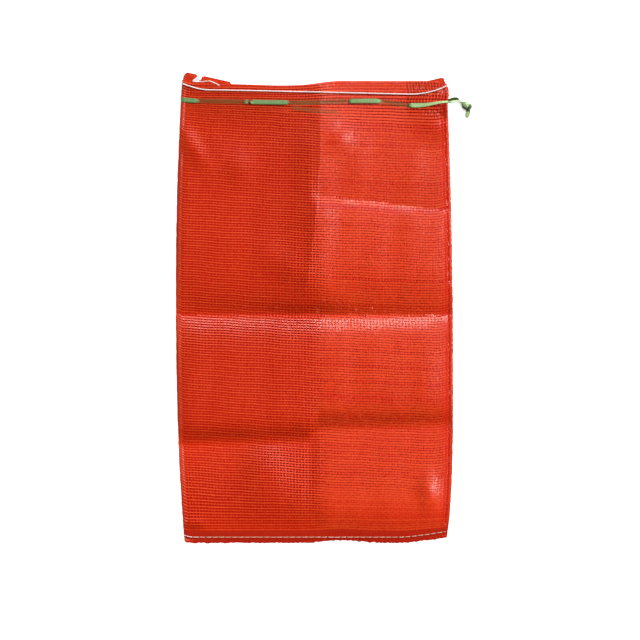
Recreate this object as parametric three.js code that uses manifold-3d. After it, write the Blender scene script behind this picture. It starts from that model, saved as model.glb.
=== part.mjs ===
// Raschel net bag lying empty and flat, shown side up, its mouth towards +Y, in millimetres with +Z up.
// The net is one closed solid with two lips at the mouth. A flat drawstring laces through it below the top
// hem, leaves at the right side fold as two tails and ends in a knot.
import * as THREE from "three";
import { mergeVertices } from "three/addons/utils/BufferGeometryUtils.js";
import Module from "manifold-3d";

const wasm = await Module();
wasm.setup();

// Flat bag: the outline bows in from its widest place towards the mouth and the base
const HALF_WIDTH = 226.5;
const MOUTH_Y = 366.8;
const BASE_Y = -384.5;
const LEFT = {
  sign: -1,
  widestY: 46,
  mouthBow: 9.8,
  mouthPower: 2,
  baseBow: 14,
  basePower: 2.5,
  fall: 12,
  sink: 0.5,
  swell: 0,
};
const RIGHT = {
  sign: 1,
  widestY: -101,
  mouthBow: 10.3,
  mouthPower: 2.1,
  baseBow: 10.3,
  basePower: 3.5,
  fall: 40,
  sink: 0.4,
  swell: 3,
};
const SIDE_SWELL = { y: 348, width: 7.5 };
const RIM_ROUND = 1.2;

// Heights of the front net above the surface that the bag lies on
const FOLD_Z = 2.4;
const PANEL_PUFF = 3.6;
const HEM_FALL = 28;
const MOUTH_BAND = { z: 5.8, edgeZ: 3.9, startY: 250, fullY: 322 };
const MOUTH_RISE = { height: 3.6, x: -110, width: 120, y: 378, length: 70 };
const BASE_HEM = { z: 3.6, edgeZ: 2.6, top: -366.5, step: 2.5, fadeTop: -300 };

// Old fold lines pressed into the net, each broken at the long fold: the place and the share of the puff that
// it takes away on the left and on the right, its lean and its reach each way
const CROSS_FOLDS = [
  { leftY: 186, rightY: 186, leftSink: 0, rightSink: 0.4, lean: -0.12, above: 60, below: 14, power: 1 },
  { leftY: -11, rightY: -11, leftSink: 0.95, rightSink: 0.95, lean: 0, above: 40, below: 26, power: 1 },
  { leftY: -221, rightY: -202, leftSink: 1, rightSink: 0.9, lean: 0.03, above: 24, below: 150, power: 2 },
];
const FOLD_JOG = 10;

// Long fold that stands up as a ridge on a bent line, high above the middle fold and low below it
const LONG_FOLD = { x: 9, bendY: 300, bend: 0.00033, left: 90, right: 120 };
const RIDGE = { high: 5, low: 0.8, stepFrom: -30, stepTo: 10, mouthFrom: 250, mouthShare: 0.5 };

// Lips of the mouth: the back lip stands above the front one at both corners
const LIP_LEFT_RISE = { height: 8, width: 8 };
const LIP_RIGHT_SIDE = { height: 5, start: -25, end: 45 };
const LIP_RIGHT_DROP = { height: 5, width: 7 };
const LIP_SAG = { height: 2.5, x: -55, width: 55 };
const BACK_LIP = { z: 1.6, footY: 345, setBack: 1.5, leftGap: 3, rightGap: 5 };
const BACK_LIP_LEFT = { height: 20.5, peakX: -208, slope: 0.218, round: 0.152, endX: -139, footX: -134 };
const BACK_LIP_RIGHT = { height: 6.8, peakX: 208, width: 30 };
const BACK_LIP_NOTCH = { depth: 9.5, x: -187.5, width: 3 };
const MOUTH_GAP = { low: 2.1, high: 2.9, depth: 14, reach: 8, sideGap: 10 };

// Lower edge: a small tuck near the middle, a lift at the right corner and a cut left corner
const BASE_TUCK = { height: 4.4, x: 45, width: 38 };
const BASE_LIFT = { height: 9, start: 150, end: 219 };
const BASE_CORNER = { height: 3, width: 4 };

// Flat braided drawstring
const STRING_WIDTH = 7.5;
const STRING_THICK = 1;
const STRING_CLEAR = 0.3;
const STRING_LIFT = 0.6;
const STRING_STEP = 5.5;
const LACE_TURN = 13;
const RUN_END = { left: -211, right: 218 };
const WRAP_REACH = 8.3;
const WRAP_STEPS = 12;
const FRONT_INSIDE_Z = 3.7;
const BACK_OUTSIDE_Z = 0.65;
const BACK_INSIDE_Z = 2.6;

// Stretches of the front run that show outside the net, and the one stretch of the back run inside it
const FRONT_SHOWN = [
  [-230, -189],
  [-116, -41],
  [54, 110],
  [153, 240],
];
const BACK_HIDDEN = [-36, 38];

// Middle line of each run, seen from above
const FRONT_ROUTE = [
  [-211, 340],
  [-186, 338.5],
  [-117, 337],
  [-69, 336],
  [-12, 336],
  [53, 338],
  [108, 338],
  [150, 332],
  [178, 331.8],
  [204, 336],
  [218, 337.4],
];
const BACK_ROUTE = [
  [-211, 345],
  [-150, 339],
  [-80, 331],
  [-36, 327],
  [38, 320],
  [90, 322],
  [156, 330],
  [218, 339.6],
];

// Free tails of the drawstring, the knot that joins them and the end that hangs from it
const FRONT_TAIL_WIDTH = 3.4;
const BACK_TAIL_WIDTH = 4.4;
const TAIL_THICK = 1.3;
const TAIL_STEPS = 16;
const FRONT_TAIL = [
  [218.9, 337.4, 5.5],
  [220.8, 337, 5.3],
  [224.5, 337.7, 4.2],
  [231, 338.7, 2.8],
  [236.2, 338.6, 2.7],
  [240, 336.6, 3.2],
  [243.2, 333.8, 4.2],
  [246.5, 331.6, 4.8],
];
const BACK_TAIL = [
  [218.6, 339.6, 0.85],
  [222, 340.7, 0.85],
  [226, 342.1, 0.85],
  [230, 342.9, 0.85],
  [234.2, 342.5, 0.85],
  [238.2, 340.2, 0.85],
  [241.5, 337.6, 0.85],
  [245.2, 334.6, 1.4],
  [248.2, 332, 2.4],
];
const KNOT = { x: 248.7, y: 330.5, z: 5, radii: [8.6, 6.2, 4.6], turn: -0.52 };
const KNOT_WRAP = { radius: 4.9, tube: 1.5, tilt: 1.35, squash: 0.72, segments: [8, 20] };
const END_ROUTE = [
  [251, 327.5, 2.1],
  [251.7, 323.5, 2],
  [251.2, 319.5, 1.5],
  [250.4, 315.2, 1],
  [249.8, 311.4, 0.95],
];
const END_WIDTH = 7;
const KNOT_SEGMENTS = [20, 12];

// Sewing thread
const THREAD_SIDES = 6;
const THREAD_LIFT = 0.35;
const MOUTH_STITCH = { radius: 1, pitch: 9.5, swell: 0.12, y: 352.8, slope: -0.021, reach: 215.5 };
const MOUTH_STITCH_LEFT = { rise: 9.5, length: 40, power: 1.6 };
const MOUTH_STITCH_RIGHT = { rise: 14.8, length: 60, power: 2 };
const BASE_STITCH = { radius: 0.9, pitch: 10.5, swell: 0.22, y: -375, reach: 211 };
const BASE_STITCH_RIGHT = { rise: 9, length: 72, power: 1.3 };
const LOOSE_THREAD = {
  radius: 0.8,
  steps: 22,
  route: [
    [-189.5, 380, 2.8],
    [-194.5, 376, 2.8],
    [-199.4, 371.7, 2.8],
    [-193, 370.5, 2.8],
    [-184, 370.7, 2.8],
    [-176, 371.6, 3],
    [-170, 370.6, 7.4],
    [-162.5, 367.5, 10.4],
    [-155.6, 363.6, 10.5],
  ],
};

// Grid of the net solid: columns crowd towards the long fold and the sides, rows towards the cross folds
const HALF_COLUMNS = 10;
const COLUMN_PULL = 0.85;
const FOLD_ROWS = [-1.7, -0.8, -0.3, 0, 0.3, 0.8, 1.7];
const FOLD_ROW_REACH = 40;
const WIDEST_ROW = 34;
const STRING_ROWS = [330, 339, 348, 358];
const BACK_LIP_GRID = [64, 3];
const MOUTH_GAP_COLUMNS = 24;
const ROUTE_POINTS = 200;
const LIP_FOLLOW_Y = 326;
const BASE_FOLLOW_Y = -330;
const FOLD_FOLLOW = 55;

const NET_RED = 0xd0402a;
const STRING_GREEN = 0x9ab878;
const THREAD_WHITE = 0xf4ece8;

const clampUnit = (value) => THREE.MathUtils.clamp(value, 0, 1);
const ease = (value, from, to) => THREE.MathUtils.smoothstep(value, from, to);
const fade = (distance, width) => Math.exp(-Math.abs(distance) / width);
const bell = (distance, width) => Math.exp(-((distance / width) ** 2));
const mix = THREE.MathUtils.lerp;

// Side fold of the flat bag at a height along it
function sideX(side, y) {
  const towardsMouth = y > side.widestY;
  const reach = towardsMouth ? MOUTH_Y - side.widestY : side.widestY - BASE_Y;
  const share = Math.abs(y - side.widestY) / reach;
  const mouthBow = side.mouthBow * share ** side.mouthPower;
  const baseBow = side.baseBow * share ** side.basePower;
  const swell = side.swell * bell(y - SIDE_SWELL.y, SIDE_SWELL.width);
  return side.sign * (HALF_WIDTH - (towardsMouth ? mouthBow : baseBow) + swell);
}

function longFoldX(y) {
  const below = THREE.MathUtils.clamp(LONG_FOLD.bendY - y, 0, LONG_FOLD.bendY);
  return LONG_FOLD.x - LONG_FOLD.bend * below ** 2;
}

const SIDES = [LEFT, RIGHT];

// Distance to a side fold from inside the bag
const insideOf = (side, x, y) => Math.max(side.sign * (sideX(side, y) - x), 0);

// Share that is on the right half of a cross fold, which is broken near the middle
const rightHalf = (x) => ease(x, -FOLD_JOG, FOLD_JOG);

const foldMiddle = (fold) => (fold.leftY + fold.rightY) / 2;
const foldY = (fold, x) => mix(fold.leftY, fold.rightY, rightHalf(x)) + fold.lean * x;

// Share of the puff that a cross fold leaves: steep below it, and steep or level above it
function foldLeaves(fold, x, y) {
  const distance = y - foldY(fold, x);
  const upper = Math.exp(-((Math.max(distance, 0) / fold.above) ** fold.power));
  const lower = fade(Math.min(distance, 0), fold.below);
  return 1 - mix(fold.leftSink, fold.rightSink, rightHalf(x)) * upper * lower;
}

// Height of the puffed panels between the old fold lines
function panelZ(x, y) {
  let puff = PANEL_PUFF;
  for (const side of SIDES) {
    puff *= 1 - side.sink * fade(insideOf(side, x, y), side.fall);
  }
  for (const fold of CROSS_FOLDS) {
    puff *= foldLeaves(fold, x, y);
  }
  return FOLD_Z + puff;
}

// Height that the long fold adds, with a sharp crest
function ridgeZ(x, y) {
  const height = mix(RIDGE.low, RIDGE.high, ease(y, RIDGE.stepFrom, RIDGE.stepTo));
  const share = mix(1, RIDGE.mouthShare, ease(y, RIDGE.mouthFrom, MOUTH_Y));
  const distance = x - longFoldX(y);
  const reach = distance > 0 ? LONG_FOLD.right : LONG_FOLD.left;
  return height * share * foldLeaves(CROSS_FOLDS[1], x, y) * fade(distance, reach);
}

const mouthRise = (x, y) =>
  MOUTH_RISE.height * bell(x - MOUTH_RISE.x, MOUTH_RISE.width) * bell(y - MOUTH_RISE.y, MOUTH_RISE.length);

// Height of a level hem, lower at the side folds
function levelZ(hem, x, y) {
  const [left, right] = SIDES.map((side) => side.sink * fade(insideOf(side, x, y), HEM_FALL));
  return mix(hem.z, hem.edgeZ, left + right);
}

// Height of the front of the bag, with the level band at the mouth and the sewn hem at the base
function frontZ(x, y) {
  if (y <= BASE_HEM.top) {
    return levelZ(BASE_HEM, x, y);
  }
  const inBand = ease(y, MOUTH_BAND.startY, MOUTH_BAND.fullY);
  const upper = mix(panelZ(x, y), levelZ(MOUTH_BAND, x, y), inBand) + ridgeZ(x, y);
  const aboveHem = clampUnit((y - BASE_HEM.top) / (BASE_HEM.fadeTop - BASE_HEM.top));
  return mix(FOLD_Z, upper, aboveHem * (2 - aboveHem)) + mouthRise(x, y);
}

// Shift that both lips share
const lipWave = (x) =>
  LIP_RIGHT_SIDE.height * ease(x, LIP_RIGHT_SIDE.start, LIP_RIGHT_SIDE.end) -
  LIP_SAG.height * bell(x - LIP_SAG.x, LIP_SAG.width);

const lipShift = (x) =>
  LIP_LEFT_RISE.height * fade(x - sideX(LEFT, MOUTH_Y), LIP_LEFT_RISE.width) +
  lipWave(x) -
  LIP_RIGHT_DROP.height * fade(sideX(RIGHT, MOUTH_Y) - x, LIP_RIGHT_DROP.width);

const baseShift = (x) =>
  BASE_TUCK.height * bell(x - BASE_TUCK.x, BASE_TUCK.width) +
  BASE_LIFT.height * clampUnit((x - BASE_LIFT.start) / (BASE_LIFT.end - BASE_LIFT.start)) +
  BASE_CORNER.height * clampUnit(1 - (x - sideX(LEFT, BASE_Y)) / BASE_CORNER.width);

// Upper edge of the back lip: a peak at each corner that falls away towards the middle, and a notch
function backLipY(x) {
  const along = x - BACK_LIP_LEFT.peakX;
  const straight = BACK_LIP_LEFT.height - BACK_LIP_LEFT.slope * Math.max(along, 0);
  const rounded = BACK_LIP_LEFT.round * Math.min(along, 0) ** 2;
  const left = (straight - rounded) * (1 - ease(x, BACK_LIP_LEFT.endX, BACK_LIP_LEFT.footX));
  const away = Math.abs(x - BACK_LIP_RIGHT.peakX) / BACK_LIP_RIGHT.width;
  const right = BACK_LIP_RIGHT.height * clampUnit(1 - away);
  const notch = BACK_LIP_NOTCH.depth * bell(x - BACK_LIP_NOTCH.x, BACK_LIP_NOTCH.width);
  return MOUTH_Y + lipWave(x) - BACK_LIP.setBack + left + right - notch;
}

// Box whose grid points are moved to the places that a function gives for their shares along each side
function mappedBox(across, along, up, place) {
  const box = new THREE.BoxGeometry(1, 1, 1, across, along, up);
  box.deleteAttribute("normal");
  box.deleteAttribute("uv");
  const points = box.getAttribute("position");
  const half = 0.5;
  for (let n = 0; n < points.count; n += 1) {
    const [x, y, z] = place(points.getX(n) + half, points.getY(n) + half, points.getZ(n) + half);
    points.setXYZ(n, x, y, z);
  }
  return box;
}

// Closed geometry as a solid that can be joined and cut
function solidOf(geometry) {
  const bare = new THREE.BufferGeometry();
  bare.setAttribute("position", geometry.getAttribute("position").clone());
  bare.setIndex(geometry.getIndex());
  const merged = mergeVertices(bare, 1e-3);
  const vertProperties = new Float32Array(merged.getAttribute("position").array);
  const triVerts = new Uint32Array(merged.getIndex().array);
  return new wasm.Manifold(new wasm.Mesh({ numProp: 3, vertProperties, triVerts }));
}

function geometryOf(solid) {
  const { vertProperties, triVerts } = solid.getMesh();
  const geometry = new THREE.BufferGeometry();
  geometry.setAttribute("position", new THREE.BufferAttribute(vertProperties, 3));
  geometry.setIndex(new THREE.BufferAttribute(triVerts, 1));
  geometry.computeVertexNormals();
  return geometry;
}

// Rows of the net grid: the hems, the string band and each fold, with wide gaps split evenly
function gridRows() {
  const hems = [BASE_Y, BASE_HEM.top, BASE_HEM.top + BASE_HEM.step, BASE_HEM.fadeTop];
  const band = [MOUTH_BAND.startY, MOUTH_BAND.fullY, ...STRING_ROWS, MOUTH_Y];
  const foldRows = (fold) =>
    FOLD_ROWS.map((share) => {
      const reach = Math.min(share > 0 ? fold.above : fold.below, FOLD_ROW_REACH);
      return foldMiddle(fold) + share * reach;
    });
  const folds = CROSS_FOLDS.flatMap(foldRows);
  const lines = [...hems, ...folds, ...band].sort((low, high) => low - high);
  const rows = lines.slice(0, 1);
  for (const line of lines.slice(1)) {
    const from = rows[rows.length - 1];
    const parts = Math.ceil((line - from) / WIDEST_ROW);
    for (let n = 1; n <= parts; n += 1) {
      rows.push(mix(from, line, n / parts));
    }
  }
  return rows;
}

// Share of a half width at a column, counted from the long fold
function columnShare(column) {
  const even = Math.abs(column) / HALF_COLUMNS;
  const turn = 2 * Math.PI;
  return even - (COLUMN_PULL * Math.sin(turn * even)) / turn;
}

// Net body from the base hem to the front lip: flat below, with a rounded rim between two levels
function netBody() {
  const rows = gridRows();
  const across = 2 * HALF_COLUMNS;
  const along = rows.length - 1;
  const followLip = (row) => clampUnit((row - LIP_FOLLOW_Y) / (MOUTH_Y - LIP_FOLLOW_Y));
  const followBase = (row) => clampUnit((BASE_FOLLOW_Y - row) / (BASE_FOLLOW_Y - BASE_Y));
  return mappedBox(across, along, 2, (a, b, c) => {
    const level = Math.round(2 * c);
    const inset = level === 1 ? 0 : RIM_ROUND;
    const row = rows[Math.round(b * along)];
    const column = Math.round(a * across) - HALF_COLUMNS;
    const side = column < 0 ? LEFT : RIGHT;
    const x = mix(longFoldX(row), sideX(side, row) - side.sign * inset, columnShare(column));
    const rowInset = (row === BASE_Y) * inset - (row === MOUTH_Y) * inset;
    let leant = row;
    for (const fold of CROSS_FOLDS) {
      leant += (foldY(fold, x) - foldMiddle(fold)) * bell(row - foldMiddle(fold), FOLD_FOLLOW);
    }
    const y = leant + rowInset + lipShift(x) * followLip(row) + baseShift(x) * followBase(row);
    return [x, y, (frontZ(x, leant) * level) / 2];
  });
}

// Thin tongue of net that shows above the front lip
function backLip() {
  const [across, along] = BACK_LIP_GRID;
  return mappedBox(across, along, 1, (a, b, c) => {
    const left = sideX(LEFT, MOUTH_Y) + BACK_LIP.leftGap;
    const right = sideX(RIGHT, MOUTH_Y) - BACK_LIP.rightGap;
    const x = mix(left, right, a);
    return [x, mix(BACK_LIP.footY, backLipY(x), b), BACK_LIP.z * c];
  });
}

// Narrow gap between the two lips
function mouthGap() {
  return mappedBox(MOUTH_GAP_COLUMNS, 1, 1, (a, b, c) => {
    const left = sideX(LEFT, MOUTH_Y) + MOUTH_GAP.sideGap;
    const right = sideX(RIGHT, MOUTH_Y) - MOUTH_GAP.sideGap;
    const x = mix(left, right, a);
    const lip = MOUTH_Y + lipShift(x);
    const y = mix(lip - MOUTH_GAP.depth, lip + MOUTH_GAP.reach, b);
    return [x, y, mix(MOUTH_GAP.low, MOUTH_GAP.high, c)];
  });
}

// Place along Y of a route given by hand-set points, smoothed
function routeY(route) {
  const points = route.map(([x, y]) => new THREE.Vector3(x, y, 0));
  const table = new THREE.CatmullRomCurve3(points).getSpacedPoints(ROUTE_POINTS);
  return (x) => {
    const next = table.findIndex((point) => point.x >= x);
    const n = THREE.MathUtils.clamp(next, 1, table.length - 1);
    const from = table[n - 1];
    const to = table[n];
    return mix(from.y, to.y, clampUnit((x - from.x) / (to.x - from.x)));
  };
}

// How far a place is inside a stretch: 1 well inside, 0 outside, with a smooth turn at each end
function within([start, end], x) {
  const turn = LACE_TURN / 2;
  return ease(x, start - turn, start + turn) * (1 - ease(x, end - turn, end + turn));
}

const frontY = routeY(FRONT_ROUTE);
const backY = routeY(BACK_ROUTE);

function frontStringZ(x) {
  const shown = FRONT_SHOWN.reduce((most, stretch) => Math.max(most, within(stretch, x)), 0);
  const above = frontZ(x, frontY(x)) + STRING_LIFT + STRING_THICK / 2;
  return mix(FRONT_INSIDE_Z, above, shown);
}

const backStringZ = (x) => mix(BACK_OUTSIDE_Z, BACK_INSIDE_Z, within(BACK_HIDDEN, x));

// Middle line of the laced drawstring: back run to the left, round the side fold, front run to the right
function lacedLine() {
  const count = Math.round((RUN_END.right - RUN_END.left) / STRING_STEP);
  const line = [];
  for (let n = 0; n <= count; n += 1) {
    const x = mix(RUN_END.right, RUN_END.left, n / count);
    line.push(new THREE.Vector3(x, backY(x), backStringZ(x)));
  }
  const low = line[line.length - 1].clone();
  const high = new THREE.Vector3(RUN_END.left, frontY(RUN_END.left), frontStringZ(RUN_END.left));
  for (let n = 1; n < WRAP_STEPS; n += 1) {
    const angle = (Math.PI * n) / WRAP_STEPS;
    const rise = (1 - Math.cos(angle)) / 2;
    const x = RUN_END.left - WRAP_REACH * Math.sin(angle);
    line.push(new THREE.Vector3(x, mix(low.y, high.y, rise), mix(low.z, high.z, rise)));
  }
  for (let n = 0; n <= count; n += 1) {
    const x = mix(RUN_END.left, RUN_END.right, n / count);
    line.push(new THREE.Vector3(x, frontY(x), frontStringZ(x)));
  }
  return line;
}

// Flat ribbon along a line, its width kept as near to +Y as the line allows
function ribbon(line, width, thick) {
  const steps = line.length - 1;
  const frames = line.map((point, n) => {
    const along = line[Math.min(n + 1, steps)].clone().sub(line[Math.max(n - 1, 0)]).normalize();
    const across = new THREE.Vector3(0, 1, 0).addScaledVector(along, -along.y).normalize();
    return { point, across, out: along.clone().cross(across) };
  });
  return mappedBox(steps, 1, 1, (a, b, c) => {
    const { point, across, out } = frames[Math.round(a * steps)];
    const place = point.clone();
    place.addScaledVector(across, (b - 0.5) * width);
    place.addScaledVector(out, (c - 0.5) * thick);
    return place.toArray();
  });
}

const smoothCurve = (route) =>
  new THREE.CatmullRomCurve3(route.map((point) => new THREE.Vector3(...point)));

// Flat strip with bevelled edges swept along a curve
function sweptStrip(route, width, thick) {
  const bevel = thick / 3;
  const section = new THREE.Shape();
  section.moveTo(-thick / 2, -width / 2 + bevel);
  section.lineTo(-thick / 2 + bevel, -width / 2);
  section.lineTo(thick / 2 - bevel, -width / 2);
  section.lineTo(thick / 2, -width / 2 + bevel);
  section.lineTo(thick / 2, width / 2 - bevel);
  section.lineTo(thick / 2 - bevel, width / 2);
  section.lineTo(-thick / 2 + bevel, width / 2);
  section.lineTo(-thick / 2, width / 2 - bevel);
  return new THREE.ExtrudeGeometry(section, {
    steps: TAIL_STEPS,
    bevelEnabled: false,
    extrudePath: smoothCurve(route),
  });
}

// Knot: an egg of pulled-tight turns with one turn crossing over it, grown by a clearance for cutting
function knotTurns(clear) {
  const core = new THREE.SphereGeometry(1, ...KNOT_SEGMENTS);
  core.scale(...KNOT.radii.map((radius) => radius + clear));
  core.rotateZ(KNOT.turn);
  core.translate(KNOT.x, KNOT.y, KNOT.z);
  const turn = new THREE.TorusGeometry(KNOT_WRAP.radius, KNOT_WRAP.tube + clear, ...KNOT_WRAP.segments);
  turn.rotateY(KNOT_WRAP.tilt);
  turn.scale(1, 1, KNOT_WRAP.squash);
  turn.rotateZ(KNOT.turn);
  turn.translate(KNOT.x, KNOT.y, KNOT.z);
  return solidOf(core).add(solidOf(turn));
}

const knot = () => knotTurns(0).add(solidOf(sweptStrip(END_ROUTE, END_WIDTH, TAIL_THICK)));

const tail = (route, width) =>
  solidOf(sweptStrip(route, width, TAIL_THICK)).subtract(knotTurns(STRING_CLEAR));

// Sewing thread that swells at each stitch, laid along a line over the front of the bag
function stitchedThread(size, lineY, heightAt) {
  const steps = Math.round((4 * size.reach) / size.pitch);
  const cylinder = new THREE.CylinderGeometry(1, 1, 1, THREAD_SIDES, steps);
  cylinder.deleteAttribute("normal");
  cylinder.deleteAttribute("uv");
  const points = cylinder.getAttribute("position");
  for (let n = 0; n < points.count; n += 1) {
    const share = points.getY(n);
    const x = -2 * size.reach * share;
    const ring = Math.round((share + 0.5) * steps);
    const radius = size.radius * (1 - size.swell * Math.cos(Math.PI * ring));
    const y = lineY(x);
    const z = heightAt(x, y) + THREAD_LIFT + size.radius * (1 + size.swell);
    points.setXYZ(n, x, y + radius * points.getX(n), z + radius * points.getZ(n));
  }
  return cylinder;
}

function mouthStitchY(x) {
  const side = MOUTH_STITCH.reach;
  const left = clampUnit(1 - (x + side) / MOUTH_STITCH_LEFT.length) ** MOUTH_STITCH_LEFT.power;
  const right = clampUnit(1 - (side - x) / MOUTH_STITCH_RIGHT.length) ** MOUTH_STITCH_RIGHT.power;
  const level = MOUTH_STITCH.y + MOUTH_STITCH.slope * x;
  return level + MOUTH_STITCH_LEFT.rise * left + MOUTH_STITCH_RIGHT.rise * right;
}

function baseStitchY(x) {
  const right = clampUnit(1 - (BASE_STITCH.reach - x) / BASE_STITCH_RIGHT.length);
  return BASE_STITCH.y + BASE_STITCH_RIGHT.rise * right ** BASE_STITCH_RIGHT.power;
}

// Thread end that lies loose at the left corner of the mouth
function looseThread() {
  const section = new THREE.Shape();
  section.absarc(0, 0, LOOSE_THREAD.radius, 0, 2 * Math.PI);
  return new THREE.ExtrudeGeometry(section, {
    steps: LOOSE_THREAD.steps,
    curveSegments: THREAD_SIDES,
    bevelEnabled: false,
    extrudePath: smoothCurve(LOOSE_THREAD.route),
  });
}

const group = new THREE.Group();

function addPart(name, geometry, color, roughness) {
  const material = new THREE.MeshStandardMaterial({ color, roughness, metalness: 0 });
  const mesh = new THREE.Mesh(geometry, material);
  mesh.name = name;
  group.add(mesh);
}

const baseHemZ = (x, y) => levelZ(BASE_HEM, x, y);
const line = lacedLine();
const channel = ribbon(line, STRING_WIDTH + 2 * STRING_CLEAR, STRING_THICK + 2 * STRING_CLEAR);
const body = solidOf(netBody()).add(solidOf(backLip()));
const net = body.subtract(solidOf(mouthGap())).subtract(solidOf(channel));

addPart("bag_net", geometryOf(net), NET_RED, 0.4);
addPart("drawstring", ribbon(line, STRING_WIDTH, STRING_THICK), STRING_GREEN, 0.7);
addPart("drawstring_tail_front", geometryOf(tail(FRONT_TAIL, FRONT_TAIL_WIDTH)), STRING_GREEN, 0.7);
addPart("drawstring_tail_back", geometryOf(tail(BACK_TAIL, BACK_TAIL_WIDTH)), STRING_GREEN, 0.7);
addPart("drawstring_knot", geometryOf(knot()), STRING_GREEN, 0.7);
addPart("mouth_stitch", stitchedThread(MOUTH_STITCH, mouthStitchY, frontZ), THREAD_WHITE, 0.8);
addPart("base_stitch", stitchedThread(BASE_STITCH, baseStitchY, baseHemZ), THREAD_WHITE, 0.8);
addPart("loose_thread", looseThread(), THREAD_WHITE, 0.8);

export default group;
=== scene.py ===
"""Red raschel net bag, empty and flat: two knitted layers, sewn hems, a laced drawstring and its knot."""

import logging
from collections.abc import Callable, Sequence
from dataclasses import dataclass
from enum import Enum

import bpy
import numpy as np
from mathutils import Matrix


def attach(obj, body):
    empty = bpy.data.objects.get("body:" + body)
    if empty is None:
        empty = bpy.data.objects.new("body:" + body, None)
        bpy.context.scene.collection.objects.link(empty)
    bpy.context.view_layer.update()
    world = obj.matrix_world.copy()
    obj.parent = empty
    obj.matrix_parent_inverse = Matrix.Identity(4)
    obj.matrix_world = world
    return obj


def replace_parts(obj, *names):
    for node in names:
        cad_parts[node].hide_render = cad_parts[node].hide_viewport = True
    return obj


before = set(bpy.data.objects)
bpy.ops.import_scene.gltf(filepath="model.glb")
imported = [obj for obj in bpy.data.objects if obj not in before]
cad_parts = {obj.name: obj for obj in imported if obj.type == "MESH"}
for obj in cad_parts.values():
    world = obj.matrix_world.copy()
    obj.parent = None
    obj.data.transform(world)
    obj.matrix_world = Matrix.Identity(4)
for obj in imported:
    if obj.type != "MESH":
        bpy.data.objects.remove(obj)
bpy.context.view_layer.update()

LOG = logging.getLogger("net_bag")
MM = 0.001
TURN = 2.0 * np.pi
UPWARD = np.array([[0.0, 0.0, 1.0]])
CURVE_STEPS = 24
BRAID_PITCH = 5.0 * MM
BRAID_SLANT = 0.9

Array = np.ndarray
Marks = dict[str, Array]
Colour = tuple[float, float, float]
Point = tuple[float, float, float]
Pair = tuple[float, float]


class Slot(Enum):
    """Material slots of the bag."""

    NET = "net"
    STRING = "string"
    THREAD = "thread"


class Way(Enum):
    """Which way a layer's outside faces when it is followed from its first course to its last."""

    UP = 1
    DOWN = -1


# Curves that the shapes are made from


def ramp(value: Array, start: float, end: float) -> Array:
    """Straight rise from 0 at start to 1 at end, level beyond them."""
    return np.clip((value - start) / (end - start), 0.0, 1.0)


def ease(value: Array, start: float, end: float) -> Array:
    """Smooth step from 0 at start to 1 at end."""
    share = ramp(value, start, end)
    return share * share * (3.0 - 2.0 * share)


def fade(distance: Array, width: float | Array) -> Array:
    """Exponential fall from 1, by e for each width of distance."""
    return np.exp(-np.abs(distance) / width)


def bell(distance: Array, width: float, power: float = 2.0) -> Array:
    """Bell curve of height 1 that falls to 1/e at one width, flatter on top for a higher power."""
    return np.exp(-((distance / width) ** power))


def blunt(wave: Array, power: float) -> Array:
    """Wave whose size is raised to a power below one, so that it stays longer near its ends."""
    return np.sign(wave) * np.abs(wave) ** power


def blend(start: float | Array, end: float | Array, share: float | Array) -> Array:
    """Straight mix of two values."""
    return start + (end - start) * share


def unit(vectors: Array) -> Array:
    """Vectors along the last axis, each made one long."""
    return vectors / np.linalg.norm(vectors, axis=-1, keepdims=True)


def run_of(line: Array) -> Array:
    """Length along a line at each of its points."""
    steps = np.linalg.norm(np.diff(line, axis=0), axis=1)
    return np.concatenate([[0.0], np.cumsum(steps)])


def smooth_line(route: Sequence[Sequence[float]], count: int) -> Array:
    """Smooth curve through given points.

    Between two points the curve is the cubic whose slope at each point is half the step between that point's
    neighbours. The curve is then given again as points that are evenly far apart.

    Args:
        route: the given points.
        count: how many points to give back.

    Returns:
        The points, one row each.
    """
    knots = np.asarray(route, float)
    first = 2.0 * knots[0] - knots[1]
    last = 2.0 * knots[-1] - knots[-2]
    a, b, c, d = (np.vstack([first, knots, last])[n : n + len(knots) - 1, None] for n in range(4))
    t = np.linspace(0.0, 1.0, CURVE_STEPS, endpoint=False)[:, None]
    linear = (c - a) * t
    square = (2.0 * a - 5.0 * b + 4.0 * c - d) * t**2
    cubic = (3.0 * b - a - 3.0 * c + d) * t**3
    curve = b + (linear + square + cubic) / 2.0
    dense = np.vstack([curve.reshape(-1, knots.shape[1]), knots[-1]])
    run = run_of(dense)
    even = np.linspace(0.0, run[-1], count)
    return np.stack([np.interp(even, run, dense[:, k]) for k in range(knots.shape[1])], axis=1)


@dataclass(frozen=True)
class Change:
    """Smooth change from a first value to a last one, between two places."""

    first: float
    last: float
    start: float
    end: float

    def at(self, place: Array) -> Array:
        """Value at a place: an eased mix of the two."""
        return blend(self.first, self.last, ease(place, self.start, self.end))


@dataclass(frozen=True)
class Swell:
    """Bell along a line: its height, its middle and its reach."""

    height: float
    middle: float
    reach: float

    def at(self, place: Array) -> Array:
        """Height at a place."""
        return self.height * bell(place - self.middle, self.reach)


@dataclass(frozen=True)
class Ripple:
    """Slanted sine wave over a surface: its height, its length along each axis and its phase."""

    height: float
    wave_x: float
    wave_y: float
    phase: float = 0.0

    def at(self, x: Array, y: Array) -> Array:
        """Height at a place: the sine of the waves counted along both axes."""
        return self.height * np.sin(TURN * (x / self.wave_x + y / self.wave_y) + self.phase)


# Meshes


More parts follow.
